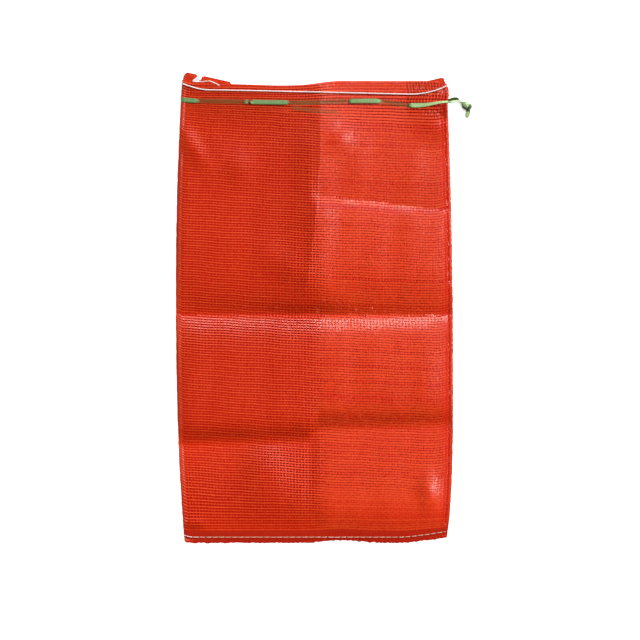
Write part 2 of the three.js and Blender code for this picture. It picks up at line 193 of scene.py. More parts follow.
@dataclass(frozen=True)
class Shell:
    """Closed mesh: its points, the corners of its faces one after another, and where each face starts."""

    points: Array
    corners: Array
    starts: Array
    marks: Marks

    @staticmethod
    def walls(paths: int, rings: int, sides: int, looped: bool) -> Array:
        """Corners of the four-sided faces between neighbouring rings.

        Args:
            paths: how many tubes there are.
            rings: rings in each tube.
            sides: points in each ring.
            looped: whether a tube's last ring joins its first.

        Returns:
            One row of four point numbers for each face.
        """
        path = np.arange(paths)[:, None, None] * rings * sides
        ring = np.arange(rings if looped else rings - 1)[None, :, None]
        side = np.arange(sides)[None, None, :]
        near = path + ring * sides
        far = path + (ring + 1) % rings * sides
        after = (side + 1) % sides
        return np.stack([near + side, near + after, far + after, far + side], axis=-1).reshape(-1, 4)

    @staticmethod
    def at_points(marks: Marks, rings: Array) -> Marks:
        """Marks as one value for each point of the rings."""
        return {name: np.broadcast_to(values, rings.shape[:3]).ravel() for name, values in marks.items()}

    @classmethod
    def tubes(cls, rings: Array, marks: Marks) -> "Shell":
        """Tubes with closed ends, from the rings of their section along each path.

        Args:
            rings: points by path, ring, side and axis, counter-clockwise as seen from a path's end.
            marks: values by path, ring and side that the finish reads.

        Returns:
            The closed mesh.
        """
        paths, count, sides, _ = rings.shape
        walls = cls.walls(paths, count, sides, looped=False)
        first = np.arange(paths)[:, None] * count * sides
        near_caps = first + np.arange(sides)[None, ::-1]
        far_caps = first + (count - 1) * sides + np.arange(sides)[None, :]
        corners = np.concatenate([walls.ravel(), near_caps.ravel(), far_caps.ravel()])
        wall_starts = np.arange(len(walls)) * 4
        cap_starts = walls.size + np.arange(2 * paths) * sides
        starts = np.concatenate([wall_starts, cap_starts])
        return cls(rings.reshape(-1, 3), corners, starts, cls.at_points(marks, rings))

    @classmethod
    def hoops(cls, rings: Array, marks: Marks) -> "Shell":
        """Tubes whose last ring joins their first, from the rings of their section round each hoop.

        Args:
            rings: points by hoop, ring, side and axis, counter-clockwise as seen along the hoop.
            marks: values by hoop, ring and side that the finish reads.

        Returns:
            The closed mesh.
        """
        hoops, count, sides, _ = rings.shape
        walls = cls.walls(hoops, count, sides, looped=True)
        starts = np.arange(len(walls)) * 4
        return cls(rings.reshape(-1, 3), walls.ravel(), starts, cls.at_points(marks, rings))

    @classmethod
    def join(cls, shells: Sequence["Shell"]) -> "Shell":
        """Several closed meshes as the one mesh of a single piece."""
        point_shift = np.cumsum([0] + [len(shell.points) for shell in shells])
        corner_shift = np.cumsum([0] + [len(shell.corners) for shell in shells])
        return cls(
            np.concatenate([shell.points for shell in shells]),
            np.concatenate([shell.corners + shift for shell, shift in zip(shells, point_shift)]),
            np.concatenate([shell.starts + shift for shell, shift in zip(shells, corner_shift)]),
            {name: np.concatenate([shell.marks[name] for shell in shells]) for name in shells[0].marks},
        )

    def piece(self, name: str, finish: bpy.types.Material, slot: Slot, crease: float) -> bpy.types.Object:
        """Puts the mesh into the scene as a piece of the bag.

        Args:
            name: the piece's name.
            finish: its material.
            slot: the material slot that it belongs to; not used.
            crease: the angle between two faces, in radians, past which their edge stays sharp.

        Returns:
            The new object, which rides on the bag.
        """
        mesh = bpy.data.meshes.new(name)
        mesh.vertices.add(len(self.points))
        mesh.vertices.foreach_set("co", self.points.astype(np.float32).ravel())
        mesh.loops.add(len(self.corners))
        mesh.loops.foreach_set("vertex_index", self.corners.astype(np.int32))
        mesh.polygons.add(len(self.starts))
        mesh.polygons.foreach_set("loop_start", self.starts.astype(np.int32))
        mesh.update(calc_edges=True)
        mesh.validate()
        mesh.shade_smooth()
        mesh.set_sharp_from_angle(angle=crease)
        for mark, values in self.marks.items():
            layer = mesh.attributes.new(mark, "FLOAT", "POINT")
            layer.data.foreach_set("value", values.astype(np.float32))
        mesh.materials.append(finish)
        made = bpy.data.objects.new(name, mesh)
        bpy.context.scene.collection.objects.link(made)
        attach(made, "root")
        LOG.info("%s: %d points, %d faces", name, len(self.points), len(self.starts))
        return made


# Shader maths


class Wire:
    """Value in a shader: arithmetic on it adds Math nodes."""

    def __init__(self, shader: "Shader", socket: bpy.types.NodeSocket) -> None:
        """Keeps the shader that the socket belongs to."""
        self.shader = shader
        self.socket = socket

    def __add__(self, other: "Wire | float") -> "Wire":
        """Sum."""
        return self.shader.math("ADD", self, other)

    def __radd__(self, other: float) -> "Wire":
        """Sum with a number in front."""
        return self.shader.math("ADD", other, self)

    def __sub__(self, other: "Wire | float") -> "Wire":
        """Difference."""
        return self.shader.math("SUBTRACT", self, other)

    def __rsub__(self, other: float) -> "Wire":
        """Difference with a number in front."""
        return self.shader.math("SUBTRACT", other, self)

    def __mul__(self, other: "Wire | float") -> "Wire":
        """Product."""
        return self.shader.math("MULTIPLY", self, other)

    def __rmul__(self, other: float) -> "Wire":
        """Product with a number in front."""
        return self.shader.math("MULTIPLY", other, self)

    def sine(self) -> "Wire":
        """Sine of the value."""
        return self.shader.math("SINE", self)

    def most(self, other: "Wire") -> "Wire":
        """The larger of two values."""
        return self.shader.math("MAXIMUM", self, other)


class Shader:
    """Node tree of one finish."""

    def __init__(self, name: str) -> None:
        """Starts a material with an empty tree."""
        self.material = bpy.data.materials.new(name)
        self.material.use_nodes = True
        self.tree = self.material.node_tree
        self.tree.nodes.clear()

    def node(
        self, kind: str, settings: dict[str, object], inputs: dict[str | int, object]
    ) -> bpy.types.Node:
        """Adds one node.

        Args:
            kind: the node's type.
            settings: its own properties, which are set first.
            inputs: a value, wire or socket for each input, by the input's name or number.

        Returns:
            The new node.
        """
        made = self.tree.nodes.new(kind)
        for name, value in settings.items():
            setattr(made, name, value)
        for name, value in inputs.items():
            if isinstance(value, Wire):
                self.tree.links.new(value.socket, made.inputs[name])
            elif isinstance(value, bpy.types.NodeSocket):
                self.tree.links.new(value, made.inputs[name])
            else:
                made.inputs[name].default_value = value
        return made

    def math(self, operation: str, *values: Wire | float) -> Wire:
        """Adds one Math node for an operation on values."""
        made = self.node("ShaderNodeMath", {"operation": operation}, dict(enumerate(values)))
        return Wire(self, made.outputs[0])

    def mark(self, name: str) -> Wire:
        """Value that the mesh carries at each point."""
        made = self.node("ShaderNodeAttribute", {"attribute_type": "GEOMETRY", "attribute_name": name}, {})
        return Wire(self, made.outputs["Fac"])

    def noise(self, stretch: Point, detail: float) -> Wire:
        """Noise from 0 to 1 over Object coordinates, with so many lumps to a metre along each axis."""
        here = self.node("ShaderNodeTexCoord", {}, {}).outputs["Object"]
        place = self.node("ShaderNodeVectorMath", {"operation": "MULTIPLY"}, {0: here, 1: stretch})
        inputs = {"Vector": place.outputs["Vector"], "Scale": 1.0, "Detail": detail}
        made = self.node("ShaderNodeTexNoise", {"noise_dimensions": "3D"}, inputs)
        return Wire(self, made.outputs[0])

    def lumps(self, scale: float, detail: float) -> Wire:
        """Noise with the same number of lumps to a metre along every axis."""
        return self.noise((scale, scale, scale), detail)

    def mix(self, low: Colour | bpy.types.NodeSocket, high: Colour, share: Wire) -> bpy.types.NodeSocket:
        """Colour between two, by a share."""
        settings = {"data_type": "RGBA", "clamp_factor": True}
        first = low if isinstance(low, bpy.types.NodeSocket) else (*low, 1.0)
        inputs = {0: share, 6: first, 7: (*high, 1.0)}
        return self.node("ShaderNodeMix", settings, inputs).outputs[2]

    def bump(self, height: Wire, strength: float, distance: float) -> bpy.types.NodeSocket:
        """Normal that is bent by a height."""
        inputs = {"Strength": strength, "Distance": distance, "Height": height}
        return self.node("ShaderNodeBump", {}, inputs).outputs["Normal"]

    def principled(self, inputs: dict[str, object]) -> bpy.types.NodeSocket:
        """Adds the main surface shader with its inputs."""
        return self.node("ShaderNodeBsdfPrincipled", {}, inputs).outputs[0]

    def output(self, surface: bpy.types.NodeSocket) -> bpy.types.Material:
        """Ends the tree with its surface and gives the material."""
        self.node("ShaderNodeOutputMaterial", {}, {"Surface": surface})
        return self.material


# Finishes


@dataclass(frozen=True)
class TapeFinish:
    """Glossy polyethylene tape: drawn fibres along it, some of the light goes through."""

    name: str
    stretch: Point = (60.0, 2600.0, 2600.0)
    deep: Colour = (0.58, 0.003, 0.0003)
    # the crowns of the tapes take this colour as a painted highlight
    bright: Colour = (0.97, 0.118, 0.02)
    # painted shade: brown for tapes with the cord behind them and beside the folded rims
    painted_shade_colour: Colour = (0.2, 0.07, 0.012)
    painted_shade_share: float = 0.85
    roughness: float = 0.3
    rough_change: float = 0.2
    gloss: float = 0.45
    see_through: float = 0.12
    fold_gain: float = 2.8
    fibre_detail: float = 2.0
    fibre_tint: float = 0.15
    fibre_relief: float = 0.012 * MM
    patch_scale: float = 22.0
    patch_detail: float = 3.0
    patch_least: float = 0.75
    patch_gain: float = 0.5

    def material(self) -> bpy.types.Material:
        """Red that changes from tape to tape and in wide patches, with fine lines along the tape.

        Painted shade: a tape with the cord behind it is painted brown, as the cord darkens the light that
        goes through it, and tapes at the folded rims are painted brown as well. The tapes lean more than
        the net does where it is folded, so the mesh's own relief also bends the normal.
        """
        shader = Shader(self.name)
        fibre = shader.noise(self.stretch, self.fibre_detail)
        uneven = fibre - 0.5
        patch = shader.lumps(self.patch_scale, self.patch_detail) * self.patch_gain + self.patch_least
        # the tint mark holds random tone and painted light: shade on edges, waists, hem, back and lip,
        # highlight on crowns and the left fold
        share = shader.mark("tint") * patch + uneven * self.fibre_tint
        red = shader.mix(self.deep, self.bright, share)
        # painted shade: browner where the cord lies behind the tape and near a side fold's rim
        colour = shader.mix(red, self.painted_shade_colour, shader.mark("behind") * self.painted_shade_share)
        height = shader.mark("relief") * self.fold_gain + fibre * self.fibre_relief
        glossy = shader.principled(
            {
                "Base Color": colour,
                "Roughness": self.roughness + uneven * self.rough_change,
                "Specular IOR Level": self.gloss,
                "Normal": shader.bump(height, 1.0, 1.0),
            }
        )
        through = shader.node("ShaderNodeBsdfTranslucent", {}, {"Color": colour}).outputs[0]
        both = shader.node("ShaderNodeMixShader", {}, {0: self.see_through, 1: glossy, 2: through})
        return shader.output(both.outputs[0])


@dataclass(frozen=True)
class BraidFinish:
    """Flat braided cord: strands cross at a slant, painted darker where they dip, as shade.

    A shade below zero says how far the net covers the cord, which then lies in red light and looks brown.
    """

    name: str
    dark: Colour
    light: Colour
    covered: Colour = (0.24, 0.1, 0.016)
    roughness: float = 0.5
    rough_change: float = 0.2
    gloss: float = 0.5
    sheen: float = 0.15
    detail: float = 2.0
    strand_share: float = 0.65
    patch_scale: float = 60.0
    patch_share: float = 0.35
    fuzz_scale: float = 900.0
    fuzz_share: float = 0.2
    fuzz_relief: float = 0.3
    relief: float = 0.2 * MM
    relief_strength: float = 0.5

    def material(self) -> bpy.types.Material:
        """Green strands, painted lighter where they come to the top and darker in the dips as shade."""
        shader = Shader(self.name)
        along = shader.mark("along") * (TURN / BRAID_PITCH)
        across = shader.mark("across") * (TURN * BRAID_SLANT)
        strand = (along + across).sine().most((along - across).sine()) * 0.5 + 0.5
        fuzz = shader.lumps(self.fuzz_scale, self.detail)
        patch = shader.lumps(self.patch_scale, self.detail)
        shade = shader.mark("shade")
        share = (strand * self.strand_share + patch * self.patch_share + fuzz * self.fuzz_share) * shade
        green = shader.mix(self.dark, self.light, share)
        soft = shader.principled(
            {
                "Base Color": shader.mix(green, self.covered, shade * -1.0),
                "Roughness": self.roughness + (fuzz - 0.5) * self.rough_change,
                "Specular IOR Level": self.gloss,
                "Sheen Weight": self.sheen,
                "Normal": shader.bump(strand + fuzz * self.fuzz_relief, self.relief_strength, self.relief),
            }
        )
        return shader.output(soft)


@dataclass(frozen=True)
class ThreadFinish:
    """Spun sewing thread, matte, with painted shade in its twist."""

    name: str
    dull: Colour
    clean_and_lit: Colour
    roughness: float = 0.75
    rough_change: float = 0.2
    sheen: float = 0.2
    detail: float = 2.0
    tint_share: float = 0.7
    patch_scale: float = 90.0
    patch_share: float = 0.3
    fuzz_scale: float = 1500.0
    fuzz_share: float = 0.2
    relief: float = 0.15 * MM
    relief_strength: float = 0.4

    def material(self) -> bpy.types.Material:
        """Thread colour that goes duller in patches, and darker towards the inside of the twist as painted
        shade.
        """
        shader = Shader(self.name)
        fuzz = shader.lumps(self.fuzz_scale, self.detail)
        patch = shader.lumps(self.patch_scale, self.detail)
        share = shader.mark("tint") * self.tint_share + patch * self.patch_share + fuzz * self.fuzz_share
        matte = shader.principled(
            {
                "Base Color": shader.mix(self.dull, self.clean_and_lit, share),
                "Roughness": self.roughness + (fuzz - 0.5) * self.rough_change,
                "Sheen Weight": self.sheen,
                "Normal": shader.bump(fuzz, self.relief_strength, self.relief),
            }
        )
        return shader.output(matte)


@dataclass(frozen=True)
class FloorFinish:
    """Plain pale floor."""

    name: str = "pale_floor"
    colour: Colour = (0.92, 0.92, 0.92)
    roughness: float = 0.9
    glow: float = 0.6

    def material(self) -> bpy.types.Material:
        """Even pale matte surface, a little bright of its own as a light table is."""
        shader = Shader(self.name)
        matte = shader.principled(
            {
                "Base Color": (*self.colour, 1.0),
                "Roughness": self.roughness,
                "Emission Color": (*self.colour, 1.0),
                "Emission Strength": self.glow,
            }
        )
        return shader.output(matte)


# Form of the flat bag


@dataclass(frozen=True)
class Side:
    """Side fold: where it is widest, how it bows in to the mouth and base, and how the net falls to it."""

    sign: int
    widest_y: float
    mouth_bow: float
    mouth_power: float
    base_bow: float
    base_power: float
    fall: float
    sink: float
    swell: float


@dataclass(frozen=True)
class Fold:
    """Old fold line across the bag, broken at the long fold.

    Each half has its own place and takes its own share of the puff. Both have the same lean and reach.
    A power of one makes the net meet the fold at a slant from above, and a power of two lets it run out
    level.
    """

    left_y: float
    right_y: float
    lean: float
    left_sink: float
    right_sink: float
    above: float
    below: float
    power: float = 1.0
    jog: float = 10.0 * MM

    def left_over(self, x: Array, y: Array) -> Array:
        """Share of the puff that the fold leaves: it falls to one less the sink on the fold line."""
        half = ease(x, -self.jog, self.jog)
        distance = y - blend(self.left_y, self.right_y, half) - self.lean * x
        upper = bell(np.maximum(distance, 0.0), self.above, self.power)
        lower = fade(np.minimum(distance, 0.0), self.below)
        return 1.0 - blend(self.left_sink, self.right_sink, half) * upper * lower


@dataclass(frozen=True)
class Dent:
    """Soft hollow, or swelling where its depth is negative, at a place on the front."""

    x: float
    y: float
    depth: float
    wide: float
    tall: float
    turn: float = 0.0

    def shape(self, x: Array, y: Array) -> Array:
        """Bell of the dent's width and height, turned, as a height to add."""
        dx = x - self.x
        dy = y - self.y
        across = dx * np.cos(self.turn) + dy * np.sin(self.turn)
        along = dy * np.cos(self.turn) - dx * np.sin(self.turn)
        return -self.depth * np.exp(-((across / self.wide) ** 2) - (along / self.tall) ** 2)


@dataclass(frozen=True)
class BagForm:
    """Outline and heights of the bag, the same as its solid has."""

    half_width: float = 226.5 * MM
    mouth_y: float = 366.8 * MM
    base_y: float = -384.5 * MM
    left: Side = Side(
        sign=-1,
        widest_y=46.0 * MM,
        mouth_bow=9.8 * MM,
        mouth_power=2.0,
        base_bow=14.0 * MM,
        base_power=2.5,
        fall=12.0 * MM,
        sink=0.5,
        swell=0.0,
    )
    right: Side = Side(
        sign=1,
        widest_y=-101.0 * MM,
        mouth_bow=10.3 * MM,
        mouth_power=2.1,
        base_bow=10.3 * MM,
        base_power=3.5,
        fall=40.0 * MM,
        sink=0.4,
        swell=3.0 * MM,
    )
    swell_y: float = 348.0 * MM
    swell_reach: float = 7.5 * MM
    fold_z: float = 2.4 * MM
    puff: float = 3.6 * MM
    hem_fall: float = 28.0 * MM
    band_z: float = 5.8 * MM
    band_edge_z: float = 3.9 * MM
    band_start: float = 250.0 * MM
    band_full: float = 322.0 * MM
    hem_z: float = 3.6 * MM
    hem_edge_z: float = 2.6 * MM
    hem_top: float = -366.5 * MM
    hem_fade: float = -300.0 * MM
    hem_drop: float = 1.2 * MM
    upper_fold: Fold = Fold(
        left_y=186.0 * MM,
        right_y=186.0 * MM,
        lean=-0.12,
        left_sink=0.0,
        right_sink=0.4,
        above=60.0 * MM,
        below=14.0 * MM,
    )
    middle_fold: Fold = Fold(
        left_y=-11.0 * MM,
        right_y=-11.0 * MM,
        lean=0.0,
        left_sink=0.95,
        right_sink=0.95,
        above=40.0 * MM,
        below=26.0 * MM,
    )
    lower_fold: Fold = Fold(
        left_y=-221.0 * MM,
        right_y=-202.0 * MM,
        lean=0.03,
        left_sink=1.0,
        right_sink=0.9,
        above=24.0 * MM,
        below=150.0 * MM,
        power=2.0,
    )
    long_x: float = 9.0 * MM
    long_bend_y: float = 300.0 * MM
    long_bend: float = 0.33
    long_height: Change = Change(0.8 * MM, 5.0 * MM, -30.0 * MM, 10.0 * MM)
    long_end: float = 250.0 * MM
    long_left_over: float = 0.5
    long_left: float = 90.0 * MM
    long_right: float = 120.0 * MM
    dents: tuple[Dent, ...] = (
        Dent(200.0 * MM, 303.0 * MM, -1.5 * MM, 30.0 * MM, 28.0 * MM),
        Dent(42.0 * MM, 280.0 * MM, -1.0 * MM, 20.0 * MM, 24.0 * MM),
        Dent(-199.0 * MM, 265.0 * MM, -1.1 * MM, 13.0 * MM, 45.0 * MM, 0.54),
        Dent(-125.0 * MM, 229.0 * MM, -1.3 * MM, 28.0 * MM, 28.0 * MM),
        Dent(-40.0 * MM, 62.0 * MM, -0.9 * MM, 26.0 * MM, 80.0 * MM, 1.05),
        Dent(-110.0 * MM, 378.0 * MM, -3.6 * MM, 120.0 * MM, 70.0 * MM),
        Dent(186.0 * MM, -301.0 * MM, -1.3 * MM, 15.0 * MM, 30.0 * MM),
        Dent(-200.0 * MM, -362.0 * MM, -1.6 * MM, 20.0 * MM, 20.0 * MM),
        Dent(-75.0 * MM, -275.0 * MM, -2.0 * MM, 40.0 * MM, 50.0 * MM),
    )
    dent_rise: float = 18.0 * MM
    ripples: tuple[Ripple, ...] = (
        Ripple(0.09 * MM, 78.0 * MM, 900.0 * MM),
        Ripple(0.054 * MM, 47.0 * MM, -550.0 * MM, 1.0),
        Ripple(0.045 * MM, 610.0 * MM, 83.0 * MM, 2.0),
    )
    lip_step: Change = Change(0.0, 5.0 * MM, -25.0 * MM, 45.0 * MM)
    lip_sag: Swell = Swell(2.5 * MM, -55.0 * MM, 55.0 * MM)
    lip_left: float = 8.0 * MM
    lip_left_reach: float = 8.0 * MM
    lip_right: float = 5.0 * MM
    lip_right_reach: float = 7.0 * MM
    base_tuck: Swell = Swell(4.4 * MM, 45.0 * MM, 38.0 * MM)
    base_lift: float = 9.0 * MM
    base_lift_start: float = 150.0 * MM
    base_lift_end: float = 219.0 * MM
    base_corner: float = 3.0 * MM
    base_corner_wide: float = 4.0 * MM
    base_follow: float = -330.0 * MM
    back_inset: float = 1.5 * MM
    back_peak: float = 20.5 * MM
    back_peak_x: float = -208.0 * MM
    back_peak_slope: float = 0.218
    back_peak_round: float = 152.0
    back_peak_end: Change = Change(1.0, 0.0, -139.0 * MM, -134.0 * MM)
    back_corner: float = 6.8 * MM
    back_corner_x: float = 208.0 * MM
    back_corner_wide: float = 30.0 * MM
    back_notch: Swell = Swell(9.5 * MM, -187.5 * MM, 3.0 * MM)

    def side_x(self, side: Side, y: Array) -> Array:
        """Side fold at a height: a power curve from its widest place to the mouth, and one to the base."""
        to_mouth = y > side.widest_y
        reach = np.where(to_mouth, self.mouth_y - side.widest_y, side.widest_y - self.base_y)
        share = np.abs(y - side.widest_y) / reach
        mouth = side.mouth_bow * share**side.mouth_power
        base = side.base_bow * share**side.base_power
        swell = side.swell * bell(y - self.swell_y, self.swell_reach)
        return side.sign * (self.half_width - np.where(to_mouth, mouth, base) + swell)

    def across(self, u: Array, y: Array) -> Array:
        """Place along X at a share of the way from the left side fold to the right one."""
        return blend(self.side_x(self.left, y), self.side_x(self.right, y), u)

    def inside(self, side: Side, x: Array, y: Array) -> Array:
        """Distance to a side fold from inside the bag."""
        return np.maximum(side.sign * (self.side_x(side, y) - x), 0.0)

    def from_sides(self, x: Array, y: Array) -> Array:
        """Distance to the nearer side fold."""
        return np.minimum(self.inside(self.left, x, y), self.inside(self.right, x, y))

    def panel_z(self, x: Array, y: Array) -> Array:
        """Height of the puffed panels: the puff times one falling term for each side and each fold line."""
        puff = np.ones_like(x)
        for side in (self.left, self.right):
            puff = puff * (1.0 - side.sink * fade(self.inside(side, x, y), side.fall))
        for fold in (self.upper_fold, self.middle_fold, self.lower_fold):
            puff = puff * fold.left_over(x, y)
        waves = sum(ripple.at(x, y) for ripple in self.ripples)
        return self.fold_z + (self.puff + waves) * puff

    def ridge_z(self, x: Array, y: Array) -> Array:
        """Height of the long fold: a sharp bent crest, low below the middle fold and at the mouth."""
        at_mouth = blend(1.0, self.long_left_over, ease(y, self.long_end, self.mouth_y))
        crest = self.long_height.at(y) * at_mouth * self.middle_fold.left_over(x, y)
        bend = self.long_bend * np.clip(self.long_bend_y - y, 0.0, self.long_bend_y) ** 2
        distance = x - self.long_x + bend
        reach = np.where(distance > 0.0, self.long_right, self.long_left)
        return crest * fade(distance, reach)

    def level_z(self, middle: float, edge: float, x: Array, y: Array) -> Array:
        """Height of a level hem that falls at the side folds."""
        sides = (self.left, self.right)
        fallen = sum(side.sink * fade(self.inside(side, x, y), self.hem_fall) for side in sides)
        return blend(middle, edge, fallen)

    def hem_level(self, x: Array, y: Array) -> Array:
        """Height of the base hem before it drops to the lower edge."""
        return self.level_z(self.hem_z, self.hem_edge_z, x, y)

    def front_z(self, x: Array, y: Array) -> Array:
        """Height of the front above its base hem, with the level band at the mouth and the dents."""
        in_band = ease(y, self.band_start, self.band_full)
        band = self.level_z(self.band_z, self.band_edge_z, x, y)
        upper = blend(self.panel_z(x, y), band, in_band) + self.ridge_z(x, y)
        off_hem = ramp(y, self.hem_top, self.hem_fade)
        dents = sum(dent.shape(x, y) for dent in self.dents)
        dents = dents * ease(y, self.hem_top, self.hem_top + self.dent_rise)
        return blend(self.fold_z, upper, off_hem * (2.0 - off_hem)) + dents

    def lip_wave(self, x: Array) -> Array:
        """Shift that both lips share: a step up to the right half and a sag left of the middle."""
        return self.lip_step.at(x) - self.lip_sag.at(x)

    def lip_shift(self, x: Array) -> Array:
        """How far the front lip stands above its level: up at the left corner, down at the right one."""
        left = self.lip_left * fade(x - self.side_x(self.left, self.mouth_y), self.lip_left_reach)
        right = self.lip_right * fade(x - self.side_x(self.right, self.mouth_y), self.lip_right_reach)
        return left + self.lip_wave(x) - right

    def base_shift(self, x: Array) -> Array:
        """How far the lower edge stands above its level: a tuck, a lift at the right and a cut corner."""
        left = self.side_x(self.left, self.base_y)
        lift = self.base_lift * ramp(x, self.base_lift_start, self.base_lift_end)
        corner = self.base_corner * (1.0 - ramp(x, left, left + self.base_corner_wide))
        return self.base_tuck.at(x) + lift + corner

    def back_lip_y(self, x: Array) -> Array:
        """Upper edge of the back lip: a peak at each corner that falls in a straight line, and a notch."""
        along = x - self.back_peak_x
        rounded = self.back_peak_round * np.minimum(along, 0.0) ** 2
        slope = self.back_peak - self.back_peak_slope * np.maximum(along, 0.0) - rounded
        left = slope * self.back_peak_end.at(x)
        away = np.abs(x - self.back_corner_x)
        right = self.back_corner * (1.0 - ramp(away, 0.0, self.back_corner_wide))
        level = self.mouth_y + self.lip_wave(x) - self.back_inset
        return level + left + right - self.back_notch.at(x)

    def follow_base(self, y: Array) -> Array:
        """Share of the lower edge's shift that a height takes."""
        return ramp(y, self.base_follow, self.base_y)


# Knitted layers


class Layer:
    """One layer of net as a surface: a share across and a length along give a place."""

    form: BagForm
    lip_radius: float
    hem: float
    way: Way = Way.UP
    tint_spread: float = 0.12
    small_share: float = 0.0004
    small_length: float = 0.15 * MM

    def lip(self) -> float:
        """Length along at which the net starts to turn over at the mouth."""
        raise NotImplementedError

    def place(self, u: Array, s: Array) -> Array:
        """Point at a share across and a length along."""
        raise NotImplementedError

    def length(self) -> float:
        """Length of the layer from its first course to the inner edge of the hem at the mouth."""
        return self.lip() + np.pi * self.lip_radius + self.hem

    def tone(self, s: Array) -> Array:
        """How bright the tapes are at a length along."""
        return np.ones_like(s)

    def uneven(self, s: Array) -> Array:
        """How much the tapes' tints differ at a length along."""
        return np.full_like(s, self.tint_spread)

    def fold_tone(self, u: Array) -> Array:
        """How bright the tapes are at a share across."""
        return np.ones_like(u)

    def behind(self, points: Array) -> Array:
        """How much of the cord lies right behind each point."""
        return np.zeros(points.shape[:-1])

    def relief(self, points: Array) -> Array:
        """Height whose slopes the finish makes stronger."""
        return points[..., 2]

    def over_lip(self, s: Array) -> tuple[Array, Array]:
        """Half a turn over the lip at the mouth, then straight down inside it.

        Args:
            s: length along.

        Returns:
            How far the net goes up from the place where it starts to turn, and how far in.
        """
        over = np.maximum(s - self.lip(), 0.0)
        turn = np.minimum(over / self.lip_radius, np.pi)
        down = np.maximum(over - np.pi * self.lip_radius, 0.0)
        return self.lip_radius * np.sin(turn) - down, self.lip_radius * (1.0 - np.cos(turn))

    def frames(self, u: Array, s: Array) -> tuple[Array, Array, Array]:
        """Point and directions on the layer, from small steps across and along.

        Args:
            u: share across, from 0 to 1.
            s: length along.

        Returns:
            The points, and the directions across and out of the layer.
        """
        across = unit(self.place(u + self.small_share, s) - self.place(u - self.small_share, s))
        along = unit(self.place(u, s + self.small_length) - self.place(u, s - self.small_length))
        out = unit(np.cross(across, along)) * self.way.value
        return self.place(u, s), across, out


@dataclass(frozen=True)
class FrontLayer(Layer):
    """Front of the bag: from the base up to the mouth, over its lip and down inside as a hem."""

    form: BagForm
    drawstring: "Drawstring"
    skin: float = 1.0 * MM
    start_inset: float = 2.5 * MM
    lip_radius: float = 0.75 * MM
    hem: float = 20.0 * MM
    lip_follow: float = 326.0 * MM
    rim: float = 0.8 * MM
    rim_z: float = 1.5 * MM
    # painted shade along the rims of the side folds
    rim_shade: float = 0.55
    rim_shade_reach: float = 1.6 * MM
    rim_lean: float = 0.1
    rim_reach: float = 8.0 * MM
    # painted highlight on the tapes that turn over the left fold
    left_fold_highlight: Change = Change(1.5, 1.0, 0.006, 0.02)
    left_level: float = 25.0 * MM
    right_level: float = 12.0 * MM
    corner_lean: float = 0.14
    corner_x: float = 150.0 * MM
    corner_low: float = 306.0 * MM
    corner_high: float = 336.0 * MM
    soften: float = 0.4
    soften_ridge: float = 2.6 * MM
    soften_reach: float = 80.0 * MM
    band_lean: float = 0.03
    band_low: float = 338.0 * MM

    def lip(self) -> float:
        """Length along at which the net starts to turn over at the mouth."""
        return self.form.mouth_y - self.lip_radius - self.form.base_y - self.start_inset

    def fold_tone(self, u: Array) -> Array:
        """Painted highlight: tapes are brighter where they turn over the left fold."""
        return self.left_fold_highlight.at(u)

    def behind(self, points: Array) -> Array:
        """Painted shade: how much of the hidden cord lies behind each point, or how near the point is to a
        side fold's rim.
        """
        x = points[..., 0]
        y = points[..., 1]
        # painted shade near the rims of the side folds
        rim = self.rim_shade * bell(self.form.from_sides(x, y), self.rim_shade_reach)
        return np.maximum(self.drawstring.behind(x, y), rim)

    def relief(self, points: Array) -> Array:
        """Height of the front with small changes to how it takes the light.

        It is level beside each side fold and curls up at the rim, is softer at the middle fold, leans down
        towards the mouth in the band, and leans up to the corner where the cord is tied.
        """
        form = self.form
        x = points[..., 0]
        y = points[..., 1]
        left = form.side_x(form.left, y) + self.left_level
        right = form.side_x(form.right, y) - self.right_level
        in_corner = ease(y, self.corner_low, self.corner_high)
        lean = self.corner_lean * np.maximum(x - self.corner_x, 0.0) * in_corner
        softer = self.soften * form.puff + self.soften_ridge * bell(x - form.long_x, self.soften_reach)
        softer = softer * (1.0 - form.middle_fold.left_over(x, y))
        rim = self.rim_lean * np.maximum(self.rim_reach - form.from_sides(x, y), 0.0)
        band = self.band_lean * np.maximum(y - self.band_low, 0.0)
        return form.front_z(np.clip(x, left, right), y) + lean + softer + rim - band

    def place(self, u: Array, s: Array) -> Array:
        """Straight up the front, half a turn round the lip, then straight down inside it."""
        form = self.form
        level = form.base_y + self.start_inset + np.minimum(s, self.lip())
        up, inward = self.over_lip(s)
        x = form.across(u, level)
        lip_shift = form.lip_shift(x) * ramp(level, self.lip_follow, form.mouth_y)
        base_shift = form.base_shift(x) * form.follow_base(level)
        high = form.front_z(x, level) - self.skin - inward
        z = blend(high, self.rim_z, bell(form.from_sides(x, level), self.rim))
        return np.stack([x, level + lip_shift + base_shift + up, z], axis=-1)


